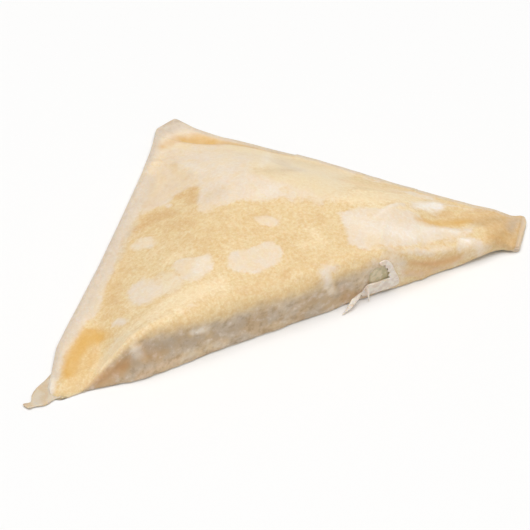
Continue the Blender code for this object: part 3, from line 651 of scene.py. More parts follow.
# Places where the top layer ends and the next one shows: how much lower, how soft the step is,
# and its outline
STEP_AREAS = [
    # beyond the cut hem
    (0.45, 0.25, HEM_STRIP),
    # behind the apex
    (0.50, 0.30, [(-6, 86.2), (-1.4, 81.8), (4.3, 77), (11.3, 73.4), (19.2, 66.2), (27, 60),
                  (40, 60), (10, 100), (-8, 100)]),
    # nose of the tail end
    (0.40, 0.25, [(-83, 4.2), (-81.2, 3.8), (-79.8, 1), (-78.4, 1.7), (-77.2, 0.2), (-77, -3),
                  (-84, -3)]),
]
# Creases: height, half width and line
RIDGES = [
    (0.30, 0.9, [(-15.6, 75), (-10.8, 74.6), (-7.6, 72), (-6.9, 66), (-7.4, 58)]),
    (0.22, 0.9, [(-23, 61.6), (-35, 50), (-50, 34.2), (-62, 22.6)]),
    (0.16, 0.9, [(29, 14.4), (33, 16.2), (41, 18.6)]),
    (0.25, 1.0, [(38, 6), (48, 9), (55, 6.4), (63, 6.4)]),
    (0.20, 1.2, [(44, 20), (58, 17), (70, 12.6)]),
    (0.18, 0.9, [(30, 29), (46, 24), (62, 19)]),
    (0.30, 1.1, [(30, 2), (40, 1.2), (50, 1)]),
]
# Unevenness of the whole sheet, and of the front wall: height, size and seed
SWELLS = [(0.14, 9, 21), (0.07, 4, 22)]
WALL_SWELLS = [(0.3, 6.5, 24), (0.18, 2.8, 25)]
WALL_SWELLS_START = 3.0  # the wall's own grow over this length, from the top of the roll down
PALE_LIFT = 0.12  # a loose layer stands up by this much
WHITE_LIFT = 0.05  # and by this much more where it is white
WRINKLE = 0.05
WRINKLE_SIZE = 1.5
PALE_CALM = 0.75  # share of the wrinkles that a loose layer hides
TEAR_DIP = 0.4  # the dough thins to a feather edge on the tear's left
TEAR_DIP_WIDTH = 2.8
TEAR_DIP_END = (22.0, 26.0)  # and the thinning fades out between these places along X

# The roll of the folded side, the slope down to the tail end's nose, and the filled corner
# between the flat tail end and the pillow
FOLD_ROLL = 2.2
NOSE = [(-77.8, 9), (-80.9, 5), (-81.4, 1.5), (-78.6, -0.2), (-73, -0.2)]
NOSE_SLOPE = 6.0
NOSE_FALL = 2.1
FILLET = 1.2
FILLET_WIDTH = 3.0
FILLET_TOP = 0.6  # its ridge is rounded over about this much
FILLET_ALONG_FOLD = (-20.0, -34.0)
FILLET_FROM_CREST = (0.0, 4.0)
NUDGE = 0.05  # to each side of a point, for the sheet's slope there


def relief(x, v, marks):
    """How far the finished surface stands off the draped sheet."""
    wall = smooth(0.0, WALL_SWELLS_START, front_line(x) + crest_radius(x) - v)
    height = waves(SWELLS, x, v)
    height = height + PALE_LIFT * marks["pale"] + WHITE_LIFT * marks["white"]
    height = height + WRINKLE * rough(x, v, WRINKLE_SIZE, 23) * (1.0 - PALE_CALM * marks["pale"])
    height = height + wall * waves(WALL_SWELLS, x, v)
    for top, half_width, line in RIDGES:
        height = height + top * np.exp(-(from_line(line, x, v) / half_width) ** 2)
    for drop, softness, outline in STEP_AREAS:
        height = height - drop * smooth(-softness, softness, area(outline, x, v))
    near_tear = smooth(-TEAR_DIP_WIDTH, 0.0, area(on_wall(TEAR), x, v))
    return height - TEAR_DIP * near_tear * (1.0 - smooth(*TEAR_DIP_END, x))


def rounded_edge(x, y):
    """How far the top falls away within the roll of the folded side and the tail end."""
    roll = np.clip(1.0 - from_line(FOLD_SIDE + TAIL_END, x, y) / FOLD_ROLL, 0.0, 1.0)
    nose = np.clip(1.0 - from_line(NOSE, x, y) / NOSE_SLOPE, 0.0, 1.0)
    return np.maximum(FOLD_ROLL * (1.0 - np.sqrt(1.0 - roll * roll)), NOSE_FALL * nose * nose)


def fillet(x, y):
    """How much the corner between the flat tail end and the pillow is filled."""
    tail_end = smooth(*FOLD_CHANGE, along_fold(x, y))
    away = from_fold(x, y) - between(FOLD_MARGIN, tail_end)
    reach = smooth(*FILLET_ALONG_FOLD, along_fold(x, y)) * smooth(*FILLET_FROM_CREST, y)
    return FILLET * reach * np.exp(-np.hypot(away, FILLET_TOP) / FILLET_WIDTH)


def finished(x, v):
    """Points of the draped sheet with its relief, and the marks on it."""
    marks = paint(x, v)
    across = drape(x + NUDGE, v) - drape(x - NUDGE, v)
    along = drape(x, v + NUDGE) - drape(x, v - NUDGE)
    normal = np.cross(across, along)
    normal /= np.linalg.norm(normal, axis=1)[:, None]
    points = drape(x, v) + normal * relief(x, v, marks)[:, None]
    points[:, 2] += fillet(x, v) - rounded_edge(x, v)
    return points, marks


# ---------------- meshes

LOW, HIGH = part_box("filo_pastry")
TO_FRAME = np.array([LOW.x / MM - TAIL_TIP_X, HIGH.y / MM - APEX_Y, 0.0])


def sample_outline(points, step, soften=0):
    """Even samples along the closed outline, moved in by how far each edge rounds outwards.

    Gives the samples, their directions outwards, and how far the edge rounds at each.
    """
    ring = np.array(points + points[:1])
    samples = []
    for start, end in zip(ring[:-1], ring[1:]):
        count = max(1, round(np.linalg.norm(end[:2] - start[:2]) / step))
        samples.extend(start + (end - start) * k / count for k in range(count))
    samples = np.array(samples)
    for _ in range(soften):
        samples = 0.5 * samples + 0.25 * (np.roll(samples, 1, axis=0) + np.roll(samples, -1, axis=0))
    ahead = np.roll(samples[:, :2], -1, axis=0) - np.roll(samples[:, :2], 1, axis=0)
    outward = np.stack([ahead[:, 1], -ahead[:, 0]], axis=-1)
    outward /= np.linalg.norm(outward, axis=1)[:, None]
    return samples[:, :2] - outward * samples[:, 2:3], outward, samples[:, 2]


def closed_curve(points, step):
    """Even samples along a smooth closed line through the points."""
    corners = np.array(points, dtype=float)
    t = np.linspace(0.0, 1.0, CURVE_SAMPLES, endpoint=False)[:, None]
    spans = []
    for k in range(len(corners)):
        a, b, c, d = (corners[(k + n) % len(corners)] for n in (-1, 0, 1, 2))
        spans.append(0.5 * (2 * b + (c - a) * t + (2 * a - 5 * b + 4 * c - d) * t ** 2
                            + (3 * b - a - 3 * c + d) * t ** 3))
    line = np.vstack(spans + [spans[0][:1]])
    run = np.concatenate([[0.0], np.cumsum(np.linalg.norm(np.diff(line, axis=0), axis=1))])
    at = np.linspace(0.0, run[-1], max(LEAST_SAMPLES, round(run[-1] / step)), endpoint=False)
    return np.stack([np.interp(at, run, line[:, n]) for n in range(corners.shape[1])], axis=-1)


def anticlockwise(ring):
    """The ring, turned round if it runs clockwise, so that a rim on it faces outwards."""
    x, y = ring.T
    doubled_area = np.sum(x * np.roll(y, -1) - y * np.roll(x, -1))
    return ring if doubled_area > 0.0 else ring[::-1]


def even_grid(low, high, step):
    """Points at the corners of even triangles, over the box from low to high."""
    columns = np.arange(low[0], high[0], step)
    rows = np.arange(low[1], high[1], step * GRID_ROW)
    return np.vstack([np.column_stack([columns + 0.5 * step * (k % 2), np.full(len(columns), y)])
                      for k, y in enumerate(rows)])


def fill_ring(ring, step, hole=None, extra=None):
    """Triangles that fill a ring, less a hole: the rings' own points come first, then an even grid.

    Extra points, a finer disc, take the place of the grid where they lie.
    """
    grid = even_grid(ring.min(axis=0), ring.max(axis=0), step)
    if extra is not None:
        middle, radius = extra.mean(axis=0), np.ptp(extra[:, 0]) / 2
        clear = np.linalg.norm(grid - middle, axis=1) > radius + RING_CLEAR * step
        grid = np.vstack([grid[clear], extra])
    grid = grid[inside(ring, grid)]
    grid = grid[distance_to(ring, grid) > RING_CLEAR * step]
    rings = [ring]
    if hole is not None:
        grid = grid[~inside(hole, grid)]
        grid = grid[distance_to(hole, grid) > RING_CLEAR * TEAR_STEP]
        rings.append(hole)
    sides = []
    start = 0
    for loop in rings:
        sides += [(start + k, start + (k + 1) % len(loop)) for k in range(len(loop))]
        start += len(loop)
    points = np.vstack(rings + [grid])
    result = delaunay_2d_cdt([Vector(p) for p in points], sides, [], FILL_INSIDE, SAME_POINT)
    source = np.array([ids[0] for ids in result[3]])
    faces = source[np.array(result[2])]
    if hole is not None:
        faces = faces[~inside(hole, points[faces].mean(axis=1))]
    return points, faces


def add_object(name, data):
    """A new object in the scene, for a mesh, a light or a camera."""
    item = bpy.data.objects.new(name, data)
    bpy.context.collection.objects.link(item)
    return item


class Shell:
    """The points and faces of one mesh, gathered part by part."""

    def __init__(self):
        self.points = np.empty((0, 3))
        self.faces = []

    def add(self, points, faces=None):
        """Adds points, with any faces between them, and gives back the points' numbers."""
        start = len(self.points)
        self.points = np.vstack([self.points, points])
        if faces is not None:
            self.faces.append(faces + start)
        return np.arange(start, len(self.points))

    def join(self, rings):
        """Adds a band of triangles from each ring of points to the next."""
        for a, b in zip(rings[:-1], rings[1:]):
            c, d = np.roll(b, -1), np.roll(a, -1)
            self.faces += [np.column_stack([a, b, c]), np.column_stack([a, c, d])]

    def build(self, name, material, marks=None):
        """The named object, with its marks as vertex attributes."""
        mesh = bpy.data.meshes.new(name)
        mesh.from_pydata((self.points + TO_FRAME) * MM, [], np.vstack(self.faces).tolist())
        mesh.validate()
        for mark, values in (marks or {}).items():
            attribute = mesh.attributes.new(mark, "FLOAT", "POINT")
            attribute.data.foreach_set("value", values.astype(np.float32))
        mesh.materials.append(material)
        mesh.shade_smooth()
        return add_object(name, mesh)


def flat_rings(plan, inset):
    """The sheet's own outline and the underside's, for an outline in plan."""
    x, y = plan.T
    wall = smooth(*WALL_START, x) * smooth(*WALL_END, x) * (y < front_line(x) + inset + WALL_BAND)
    bottom_of_wall = front_line(x) + crest_radius(x) - wall_run(x, inset)
    edge = np.stack([x, y + wall * (bottom_of_wall - y)], axis=-1)
    under = np.stack([x, y + wall * (FOOT_RADIUS + curve(FOOT_BELLY, x))], axis=-1)
    return edge, under


def floor_points(flat, lift):
    """Points over the underside, lifted off it."""
    return np.column_stack([flat, underside(*flat.T) + lift])


def tear_ring(inset):
    """The tear's ragged outline in the sheet's own coordinates, on its outer or inner face."""
    line = closed_curve(TEAR, TEAR_STEP)
    run = np.arange(len(line)) * TEAR_STEP
    ragged = TEAR_RAGGED * rough(run, np.zeros(len(run)), TEAR_RAGGED_SIZE, 31)
    middle = np.array(TEAR_MIDDLE)
    line = middle + (line - middle) * (1.0 + ragged)[:, None]
    return np.column_stack([line[:, 0], wall_v(line[:, 0], line[:, 1], inset)])


# ---------------- the folded dough

OPEN_EDGE = (0.4, 1.0)  # rounding of an edge that is cut and open, and of one that is folded
# How far the open edge's plies stand out: how far, how much each differs from the next, size, seed
PLY_UNEVEN = [(0.28, 40, 9, 41), (0.12, 9, 1.7, 42)]
PLY_GROOVE = 0.16
PLY_BOW = 0.4  # power with which the plies' unevenness fades at the edge's top and foot
UNDER_RELIEF = 0.10
UNDER_SIZE = 5.0
UNDER_PALE = 0.8
UNDER_PALE_BORDER = (-0.1, 0.3)
UNDER_PATCHES = 12.0  # size of the pale patches, and of the wisps that break them up
UNDER_WISPS = 4.0
WISPS_SHARE = 0.4
# Torn plies of the tear's rim: how deep each is, and how far it reaches into the hole
TEAR_RIM = [(0.18, 0.1), (0.36, -0.05), (0.5, 0.22), (0.66, 0), (0.82, 0.28)]
TEAR_RIM_UNEVEN = 0.2
TEAR_RIM_SIZE = 1.5
TEAR_RIM_SHIFT = 30.0  # makes each torn ply uneven in its own way


def open_edge(rounding):
    """1 where the dough's edge is cut and open, and 0 where it is folded."""
    return 1.0 - smooth(*OPEN_EDGE, rounding)


def ply_offset(row, run):
    """How far a row of the open edge stands out: plies of uneven length with a groove between."""
    ply = row // ROWS_PER_PLY
    groove = abs(row / ROWS_PER_PLY % 1.0 - 0.5) * 2.0
    offset = sum(reach * noise(run, np.full(len(run), shift * ply), size, seed)
                 for reach, shift, size, seed in PLY_UNEVEN)
    return offset - PLY_GROOVE * groove


def add_edge_rows(shell, top, bottom, plan, outward, rounding):
    """The rows of the dough's edge, from its top ring to its bottom ring."""
    start, end = shell.points[top], shell.points[bottom]
    run = np.cumsum(np.linalg.norm(plan - np.roll(plan, 1, axis=0), axis=1))
    count = PLIES * ROWS_PER_PLY
    rows = []
    for row in range(1, count):
        share = row / count
        bow = np.sin(pi * share)
        out = rounding * bow + open_edge(rounding) * ply_offset(row, run) * bow ** PLY_BOW
        ring = start + (end - start) * share
        ring[:, :2] += outward * out[:, None]
        rows.append(shell.add(ring))
    shell.join([top, *rows, bottom])
    return rows


def pocket_outline():
    """The outline of the filling pocket, parallel to the dough's sides, with its corners cut off."""
    fold = POCKET_FROM_FOLD * ROOT2 - HALF
    cut = HALF - POCKET_FROM_CUT * ROOT2
    wing = POCKET_WING_END * ROOT2
    apex_x, apex_y = 0.5 * (cut + fold), 0.5 * (cut - fold)
    corners = [(fold + POCKET_CORNER, DOUGH), (wing, DOUGH), (0.5 * (wing + cut), 0.5 * (cut - wing)),
               (apex_x + POCKET_CORNER, apex_y - POCKET_CORNER),
               (apex_x - POCKET_CORNER, apex_y - POCKET_CORNER),
               (fold + POCKET_TAIL_CORNER, POCKET_TAIL_CORNER)]
    return [(x, y, POCKET_EDGE_ROUND * (y > DOUGH)) for x, y in corners]


def add_pocket(shell):
    """The skin of the filling pocket. Gives back the numbers of its ring round the tear."""
    edge, under = flat_rings(sample_outline(pocket_outline(), POCKET_STEP)[0], DOUGH)
    tear = tear_ring(DOUGH)
    flat, faces = fill_ring(edge, POCKET_STEP, tear)
    flat_under, under_faces = fill_ring(under, POCKET_STEP)
    top = shell.add(drape(*flat.T, DOUGH), faces[:, ::-1])
    bottom = shell.add(floor_points(flat_under, DOUGH), under_faces)
    shell.join([bottom[:len(edge)], top[:len(edge)]])
    return top[len(edge):len(edge) + len(tear)]


def add_tear_rim(shell, outer, inner):
    """Torn plies round the tear, between the rings of the dough's outer and inner face."""
    start, end = shell.points[outer], shell.points[inner]
    middle = np.array([TEAR_MIDDLE[0], 0.0, TEAR_MIDDLE[1]])
    along = np.arange(len(outer)) * TEAR_STEP
    rings = []
    for share, reach in TEAR_RIM:
        ring = start + (end - start) * share
        towards = (middle - ring) * np.array([1.0, 0.0, 1.0])
        towards /= np.linalg.norm(towards, axis=1)[:, None]
        shift = np.full(len(along), TEAR_RIM_SHIFT * share)
        uneven = TEAR_RIM_UNEVEN * noise(along, shift, TEAR_RIM_SIZE, 33)
        rings.append(shell.add(ring + towards * (reach + uneven)[:, None]))
    shell.join([outer, *rings, inner])
    return [*rings, inner]


def build_dough(material):
    """The folded sheet, its open edges, its underside and the pocket that holds the filling."""
    outline = FRONT_SIDE + HEM + CUT_SIDE + APEX + FOLD_SIDE + TAIL_END
    plan, outward, rounding = sample_outline(outline, SHEET_STEP, soften=4)
    count = len(plan)
    edge, under = flat_rings(plan, 0.0)
    tear = tear_ring(0.0)
    flat, faces = fill_ring(edge, SHEET_STEP, tear)
    flat_under, under_faces = fill_ring(under, UNDER_STEP)
    surface, marks = finished(*flat.T)

    shell = Shell()
    top = shell.add(surface, faces)
    under_relief = UNDER_RELIEF * (1.0 + noise(*flat_under.T, UNDER_SIZE, 51))
    bottom = shell.add(floor_points(flat_under, under_relief), under_faces[:, ::-1])
    rows = add_edge_rows(shell, top[:count], bottom[:count], plan, outward, rounding)
    inner_tear = add_pocket(shell)
    rim = add_tear_rim(shell, top[count:count + len(tear)], inner_tear)

    values = {name: np.zeros(len(shell.points)) for name in (*marks, "edge")}
    for name, shown in marks.items():
        values[name][top] = shown
        values[name][np.array(rows)] = shown[:count]
    values["edge"][np.array(rows)] = open_edge(rounding)
    wisps = WISPS_SHARE * rough(*flat_under.T, UNDER_WISPS, 53)
    patches = noise(*flat_under.T, UNDER_PATCHES, 52) + wisps
    values["pale"][bottom] = UNDER_PALE * smooth(*UNDER_PALE_BORDER, patches)
    values["pale"][np.array(rim)] = 1.0
    dough = shell.build("folded_dough", material, values)
    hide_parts("filo_pastry")
    return dough


# ---------------- the filling

LEAF_RELIEF = 0.16
LEAF_SIZE = 2.4
CURD_RELIEF = 0.12
CURD_SIZE = 1.1
RELIEF_START = 0.4  # relief is full where the filling swells by this share


def fine_disc():
    """Points of a fine grid behind the tear, in the sheet's own coordinates."""
    middle_x, middle_v = TEAR_MIDDLE[0], float(wall_v(*TEAR_MIDDLE, DOUGH))
    steps = np.arange(-FINE_RADIUS, FINE_RADIUS + 0.5 * FINE_STEP, FINE_STEP)
    return np.array([(middle_x + a, middle_v + b) for a in steps for b in steps
                     if np.hypot(a, b) < FINE_RADIUS - 0.1 * FINE_STEP])


def shape_filling(mesh, points):
    """Draws the filling in by the gap, and swells it into the tear with leaves and curds."""
    normals = np.empty(len(mesh.vertices) * 3, dtype=np.float32)
    mesh.vertex_normals.foreach_get("vector", normals)
    points = points - normals.reshape(-1, 3) * GAP
    x, y, z = points.T
    away = np.hypot(x - TEAR_MIDDLE[0], z - TEAR_MIDDLE[1])
    near = 1.0 - smooth(BULGE_CORE * BULGE_RADIUS, BULGE_RADIUS, away)
    bumps = LEAF_RELIEF * noise(x, z, LEAF_SIZE, 61) + CURD_RELIEF * rough(x, z, CURD_SIZE, 62)
    swollen = y - BULGE_OUT * near + bumps * smooth(0.0, RELIEF_START, near)
    points[:, 1] = np.where(y < BULGE_BEHIND, swollen, y)
    mesh.vertices.foreach_set("co", ((points + TO_FRAME) * MM).astype(np.float32).ravel())
    mesh.update()


def build_filling(material):
    """The filling out to the pocket's walls, less a gap, and lumpy where the tear shows it."""
    plan, outward, rounding = sample_outline(pocket_outline(), FILLING_STEP)
    count = len(plan)
    edge, under = flat_rings(plan, DOUGH)
    flat, faces = fill_ring(edge, FILLING_STEP, extra=fine_disc())
    flat_under, under_faces = fill_ring(under, FILLING_STEP)

    shell = Shell()
    top = shell.add(drape(*flat.T, DOUGH), faces)
    bottom = shell.add(floor_points(flat_under, DOUGH), under_faces[:, ::-1])
    half = 0.5 * (shell.points[top[:count]] + shell.points[bottom[:count]])
    half[:, :2] += outward * rounding[:, None]
    shell.join([top[:count], shell.add(half), bottom[:count]])
    filling = shell.build("spinach_filling", material)
    shape_filling(filling.data, shell.points)
    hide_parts("filling")
    return filling


# ---------------- thin loose plies

def build_ply(name, outline, thick, to_point, material, step=PLY_STEP, flip=False):
    """A thin closed sheet. to_point places (u, v, depth) in space; flip turns its faces over."""
    ring = anticlockwise(closed_curve(outline, step))
    flat, faces = fill_ring(ring, step)
    shell = Shell()
    front = shell.add(to_point(*flat.T, 0.0), faces)
    back = shell.add(to_point(*flat.T, thick), faces[:, ::-1])
    shell.join([front[:len(ring)], back[:len(ring)]])
    if flip:
        shell.faces = [part[:, [0, 2, 1]] for part in shell.faces]
    return shell.build(name, material)


def wall_sheet(lift, curl, curl_from, wave, seed):
    """Places a ply in front of the wall: it stands off by lift, and curls out between two heights."""
    def to_point(x, z, depth):
        off = lift + curl * smooth(*curl_from, z) + wave * noise(x, z, HANGING_WAVE_SIZE, seed)
        return np.stack([x, front_line(x) - off + depth, z], axis=-1)
    return to_point


def tail_sheet(x, y, depth):
    """Places the inner layer's corner just above the table, waving where it comes free."""
    wave = TAIL_WAVE * smooth(*TAIL_FREE, x) * (1.0 + noise(x, y, TAIL_WAVE_SIZE, 81))
    return np.stack([x, y, TAIL_HEIGHT + wave + depth], axis=-1)


def build_plies(torn, wet):
    """The torn band and the hanging shreds, and the corner of the inner layer."""
    on_band = wall_sheet(lift=0.30, curl=0.15, curl_from=(3.4, 5.6), wave=0.20, seed=82)
    long_fall = wall_sheet(lift=0.75, curl=2.6, curl_from=(4.2, 0.3), wave=0.10, seed=83)
    short_fall = wall_sheet(lift=0.95, curl=0.8, curl_from=(5.4, 0.3), wave=0.05, seed=84)
    return [
        build_ply("torn_band", TORN_BAND, BAND_THICK, on_band, torn, step=0.35),
        build_ply("long_shred", LONG_SHRED, PLY_THICK, long_fall, torn, step=0.3),
        build_ply("short_shred", SHORT_SHRED, PLY_THICK, short_fall, torn, step=0.2),
        build_ply("tail_ply", TAIL, PLY_THICK, tail_sheet, wet, flip=True),
    ]


# ---------------- materials

class Recipe:
    """A material's nodes, with short calls for the kinds used here. Textures are in millimetres."""

    def __init__(self, name):
        self.material = bpy.data.materials.new(name)
        self.material.use_nodes = True
        self.tree = self.material.node_tree
        self.shader = self.tree.nodes["Principled BSDF"]
        place = self.tree.nodes.new("ShaderNodeTexCoord").outputs["Object"]
        inputs = {0: place, "Scale": 1.0 / MM}
        self.place = self.node("ShaderNodeVectorMath", inputs, operation="SCALE").outputs[0]

    def node(self, kind, inputs, **settings):
        """A node with its settings, and its inputs set or linked."""
        node = self.tree.nodes.new(kind)
        for name, value in settings.items():
            setattr(node, name, value)
        for name, value in inputs.items():
            self.feed(node.inputs[name], value)
        return node

    def feed(self, socket, value):
        """Links a socket to another, or sets its value."""
        if isinstance(value, bpy.types.NodeSocket):
            self.tree.links.new(value, socket)
        elif isinstance(value, tuple) and len(value) == 3 and socket.type == "RGBA":
            socket.default_value = (*value, 1.0)
        else:
            socket.default_value = value

    def mark(self, name):
        """A vertex attribute from 0 to 1."""
        return self.node("ShaderNodeAttribute", {}, attribute_name=name).outputs["Fac"]

    def noise(self, size, detail=2.0, roughness=0.5):
        """Noise from 0 to 1 with bumps of about that size in millimetres."""
        inputs = {"Vector": self.place, "Scale": 1.0 / size, "Detail": detail, "Roughness": roughness}
        return self.node("ShaderNodeTexNoise", inputs).outputs["Fac"]

    def cells(self, size):
        """Distance to the middle of each cell, for cells of about that size in millimetres."""
        inputs = {"Vector": self.place, "Scale": 1.0 / size}
        return self.node("ShaderNodeTexVoronoi", inputs).outputs["Distance"]

    def range(self, value, low, high, start=0.0, end=1.0):
        """The value's range low to high, turned smoothly into start to end."""
        inputs = {"Value": value, "From Min": low, "From Max": high, "To Min": start, "To Max": end}
        return self.node("ShaderNodeMapRange", inputs, interpolation_type="SMOOTHSTEP").outputs["Result"]

    def math(self, operation, a, b):
        """One sum of two values."""
        return self.node("ShaderNodeMath", {0: a, 1: b}, operation=operation).outputs[0]

    def plus(self, a, b):
        """Two values added up."""
        return self.math("ADD", a, b)

    def times(self, a, b):
        """Two values multiplied."""
        return self.math("MULTIPLY", a, b)

    def most(self, a, b):
        """The larger of two values."""
        return self.math("MAXIMUM", a, b)

    def mix(self, first, second, share, blend="MIX"):
        """A colour between two others, or the first one multiplied by the second."""
        inputs = {0: share, 6: first, 7: second}
        return self.node("ShaderNodeMix", inputs, data_type="RGBA", blend_type=blend).outputs[2]

    def bump(self, height, depth):
        """Small relief that is finer than the mesh; depth is in millimetres."""
        node = self.node("ShaderNodeBump", {"Height": height, "Distance": depth * MM, "Strength": 1.0})
        self.feed(self.shader.inputs["Normal"], node.outputs["Normal"])

    def finish(self, colour, roughness, subsurface, radius, specular=0.4):
        """Sets the shader and gives back the material."""
        inputs = {"Base Color": colour, "Roughness": roughness, "Specular IOR Level": specular,
                  "Subsurface Weight": subsurface, "Subsurface Radius": WARM_SCATTER,
                  "Subsurface Scale": radius * MM}
        for name, value in inputs.items():
            self.feed(self.shader.inputs[name], value)
        return self.material


WARM_SCATTER = (1.0, 0.7, 0.4)
# Dough
GOLD = (0.80, 0.605, 0.335)
GOLD_DARK = (0.735, 0.505, 0.245)
LIGHT = (0.88, 0.70, 0.44)
CREAM = (0.845, 0.69, 0.455)
PALE = (0.84, 0.695, 0.52)
PALE_COOL = (0.82, 0.69, 0.54)
WHITE = (0.93, 0.85, 0.74)
TAN = (0.72, 0.48, 0.23)
THIN = (0.66, 0.56, 0.45)
DEEP = (0.73, 0.425, 0.11)
RUST = (0.73, 0.405, 0.16)
# Front wall: the filling's tan and grey, darkened as painted shade
SHADED_WALL_TAN = (0.62, 0.46, 0.29)
SHADED_WALL_GREY = (0.585, 0.48, 0.365)
VEIL_WHITE = (0.84, 0.75, 0.67)
EDGE_PALE = (0.74, 0.62, 0.48)
# Multiplied with the colour below them
SHADOWED = (0.66, 0.58, 0.48)
GRAIN_LIGHT = (1.09, 1.20, 1.42)
GRAIN_DARK = (0.90, 0.80, 0.66)
# Loose plies and the filling
TORN_WHITE = (0.92, 0.80, 0.69)
TORN_TAN = (0.81, 0.67, 0.56)
WET_TAN = (0.64, 0.49, 0.33)
WET_GREY = (0.68, 0.57, 0.44)
LEAF_DARK = (0.54, 0.47, 0.28)
LEAF_LIGHT = (0.72, 0.60, 0.40)
CURD = (0.80, 0.72, 0.56)


def dough_material():
    """Raw filo: granular gold where it clings to the layers below, waxy and pale where it is loose."""
    r = Recipe("filo_dough")
    mark = {name: r.mark(name) for name in (*MARKS, "edge")}
    broad, middling, small = r.noise(11.0), r.noise(3.0, 3.0), r.noise(2.4, 3.0, 0.6)
    grain, fine = r.noise(1.1, 3.0, 0.6), r.noise(0.55, 2.0, 0.6)
    stray = r.plus(r.times(middling, 0.9), r.times(grain, 0.3))
    stray = r.math("SUBTRACT", stray, 0.6)

    def broken(name):
        """A mark whose border breaks up into wisps and grains."""
        return r.range(r.plus(mark[name], stray), 0.12, 0.88)

    # gold with darker clouds, and over it the loose layer, through which some of it shows
    pale = r.times(broken("pale"), 0.96)
    gold = r.mix(GOLD, GOLD_DARK, r.range(r.plus(broad, middling), 0.92, 1.20, 0.0, 0.45))
    gold = r.mix(gold, LIGHT, broken("light"))
    loose = r.mix(PALE, PALE_COOL, r.range(middling, 0.40, 0.62))
    loose = r.mix(loose, GOLD, r.range(middling, 0.48, 0.34, 0.0, 0.25))
    loose = r.mix(loose, LIGHT, r.range(broad, 0.50, 0.64, 0.0, 0.35))
    loose = r.mix(loose, CREAM, broken("cream"))
    colour = r.mix(gold, loose, pale)
    colour = r.mix(colour, TAN, r.times(broken("tan"), 0.85))
    colour = r.mix(colour, DEEP, r.times(mark["deep"], r.range(middling, 0.30, 0.62, 0.80, 1.0)))
    colour = r.mix(colour, WHITE, mark["white"])
    colour = r.mix(colour, THIN, r.times(mark["thin"], r.range(middling, 0.34, 0.60, 1.0, 0.75)))
    colour = r.mix(colour, RUST, r.times(mark["rust"], r.range(grain, 0.36, 0.62, 0.7, 1.0)))

    # grains, strongest on the bare gold
    waxy = r.most(pale, r.most(mark["deep"], mark["thin"]))
    waxy = r.most(waxy, r.times(mark["light"], 0.6))
    granular = r.range(waxy, 0.0, 1.0, 1.0, 0.44)
    lights = r.plus(r.range(grain, 0.48, 0.70, 0.0, 0.52), r.range(fine, 0.52, 0.70, 0.0, 0.30))
    colour = r.mix(colour, GRAIN_LIGHT, r.times(granular, lights), "MULTIPLY")
    darks = r.times(granular, r.range(grain, 0.52, 0.32, 0.0, 0.48))
    colour = r.mix(colour, GRAIN_DARK, darks, "MULTIPLY")

    # the filling, seen through the front wall, in colours darkened as painted shade
    shows = r.mix(SHADED_WALL_TAN, SHADED_WALL_GREY, r.range(r.noise(6.0, 3.0), 0.38, 0.62))
    shows = r.mix(shows, VEIL_WHITE, r.range(small, 0.50, 0.74, 0.0, 0.65))
    shows = r.mix(shows, RUST, r.times(mark["rust"], 0.85))
    filling_and_shade = r.times(mark["filling_and_shade"], r.range(mark["pale"], 0.0, 1.0, 1.0, 0.15))
    colour = r.mix(colour, shows, filling_and_shade)

    # shade, and the cut plies of the open edge
    shade = r.times(mark["filling_and_shade"], r.range(small, 0.52, 0.30, 0.0, 0.70))
    dark = r.times(mark["dark"], r.range(middling, 0.34, 0.62, 1.0, 0.6))
    colour = r.mix(colour, SHADOWED, r.most(shade, dark), "MULTIPLY")
    colour = r.mix(colour, EDGE_PALE, r.times(mark["edge"], 0.7))

    r.bump(r.plus(grain, r.times(fine, 0.4)), 0.07)
    return r.finish(colour, r.range(mark["pale"], 0.0, 1.0, 0.56, 0.46), 0.30, 1.4)


def torn_material():
    """Torn raw filo: thin, whitish and waxy."""
    r = Recipe("torn_filo")
    colour = r.mix(TORN_WHITE, TORN_TAN, r.range(r.noise(1.6, 3.0), 0.42, 0.62))
    r.bump(r.noise(0.5, 2.0), 0.06)
    return r.finish(colour, 0.45, 0.4, 1.0)


def wet_material():
    """A single wet ply lying on the table: greyish tan and half see-through."""
    r = Recipe("inner_ply")
    colour = r.mix(WET_TAN, WET_GREY, r.range(r.noise(2.6, 3.0), 0.40, 0.60))
    r.bump(r.noise(0.6, 2.0), 0.06)
    return r.finish(colour, 0.45, 0.4, 1.0)


def filling_material():
    """Spinach with curds of white cheese, under a film of damp dough."""
    r = Recipe("spinach_cheese_filling")
    leaf = r.mix(LEAF_DARK, LEAF_LIGHT, r.range(r.noise(1.8, 3.0), 0.38, 0.62))
    curds = r.times(r.range(r.cells(2.4), 0.42, 0.22), r.range(r.noise(3.0), 0.45, 0.60))
    colour = r.mix(leaf, CURD, curds)
    r.bump(r.noise(0.5, 3.0), 0.12)
    return r.finish(colour, 0.38, 0.2, 1.0, 0.5)


# ---------------- table, light and camera

TABLE_HALF = 6.0  # metres
TABLE_COLOUR = (0.90, 0.90, 0.90, 1.0)
TABLE_ROUGHNESS = 0.6
ROOM_COLOUR = (1.0, 0.99, 0.97, 1.0)
ROOM_STRENGTH = 0.36
LIGHT_STRENGTH = 2.35
LIGHT_SPREAD = 60.0
LIGHT_AZIMUTH = -20.0
LIGHT_ELEVATION = 85.0
# The camera that gives the photograph's view, found from the triangle's three corners
CAMERA_AIM = (-0.871, 24.425, 0.0)
CAMERA_DISTANCE = 900.0
CAMERA_AZIMUTH = -32.521
CAMERA_ELEVATION = 44.312
CAMERA_ROLL = 6.083
FOCAL_PIXELS = 3054.16
PICTURE_PIXELS = 530.0
SENSOR_WIDTH = 36.0


def direction(azimuth, elevation):
    """Towards a place seen at these angles, in degrees. Azimuth 0 is -Y and 90 is +X."""
    a, e = radians(azimuth), radians(elevation)
    return Vector((np.sin(a) * np.cos(e), -np.cos(a) * np.cos(e), np.sin(e)))


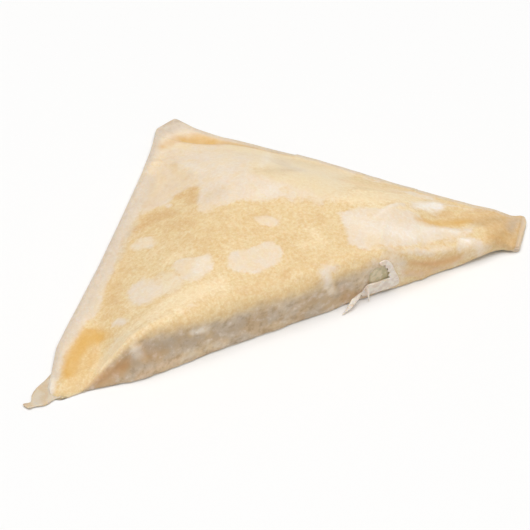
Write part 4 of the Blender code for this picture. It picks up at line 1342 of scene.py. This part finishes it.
def table_material():
    """A plain pale matt surface."""
    material = bpy.data.materials.new("table_top")
    material.use_nodes = True
    shader = material.node_tree.nodes["Principled BSDF"]
    shader.inputs["Base Color"].default_value = TABLE_COLOUR
    shader.inputs["Roughness"].default_value = TABLE_ROUGHNESS
    return material


def build_table():
    """A plain table top round the origin."""
    size = TABLE_HALF
    corners = [(-size, -size, 0.0), (size, -size, 0.0), (size, size, 0.0), (-size, size, 0.0)]
    mesh = bpy.data.meshes.new("table_top")
    mesh.from_pydata(corners, [], [(0, 1, 2, 3)])
    mesh.materials.append(table_material())
    table = add_object("table_top", mesh)


def light_scene():
    """A pale room, and a broad soft light overhead, a little to the front."""
    world = bpy.data.worlds.new("pale_room")
    world.use_nodes = True
    background = world.node_tree.nodes["Background"]
    background.inputs["Color"].default_value = ROOM_COLOUR
    background.inputs["Strength"].default_value = ROOM_STRENGTH
    bpy.context.scene.world = world
    light = bpy.data.lights.new("broad_light", "SUN")
    light.energy = LIGHT_STRENGTH
    light.angle = radians(LIGHT_SPREAD)
    lamp = add_object("broad_light", light)
    lamp.rotation_mode = "QUATERNION"
    lamp.rotation_quaternion = direction(LIGHT_AZIMUTH, LIGHT_ELEVATION).to_track_quat("Z", "Y")
    bpy.context.scene.view_settings.view_transform = "Standard"


def place_camera():
    """The camera at the photograph's viewing angle."""
    back = direction(CAMERA_AZIMUTH, CAMERA_ELEVATION)
    data = bpy.data.cameras.new("photo_view")
    data.sensor_width = SENSOR_WIDTH
    data.lens = SENSOR_WIDTH * FOCAL_PIXELS / PICTURE_PIXELS
    camera = add_object("photo_view", data)
    aim = Vector(np.array(CAMERA_AIM) + TO_FRAME) * MM
    roll = Matrix.Rotation(radians(CAMERA_ROLL), 3, "Z")
    turn = (-back).to_track_quat("-Z", "Y").to_matrix() @ roll
    camera.matrix_world = Matrix.Translation(aim + back * CAMERA_DISTANCE * MM) @ turn.to_4x4()
    bpy.context.scene.camera = camera


# ---------------- assembly

def main():
    """Places everything, with each piece on the one body."""
    place_camera()
    light_scene()
    build_table()
    torn = torn_material()
    dough = build_dough(dough_material())
    filling = build_filling(filling_material())
    plies = build_plies(torn, wet_material())
    for piece in (dough, filling, *plies):
        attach(piece, "root")


main()
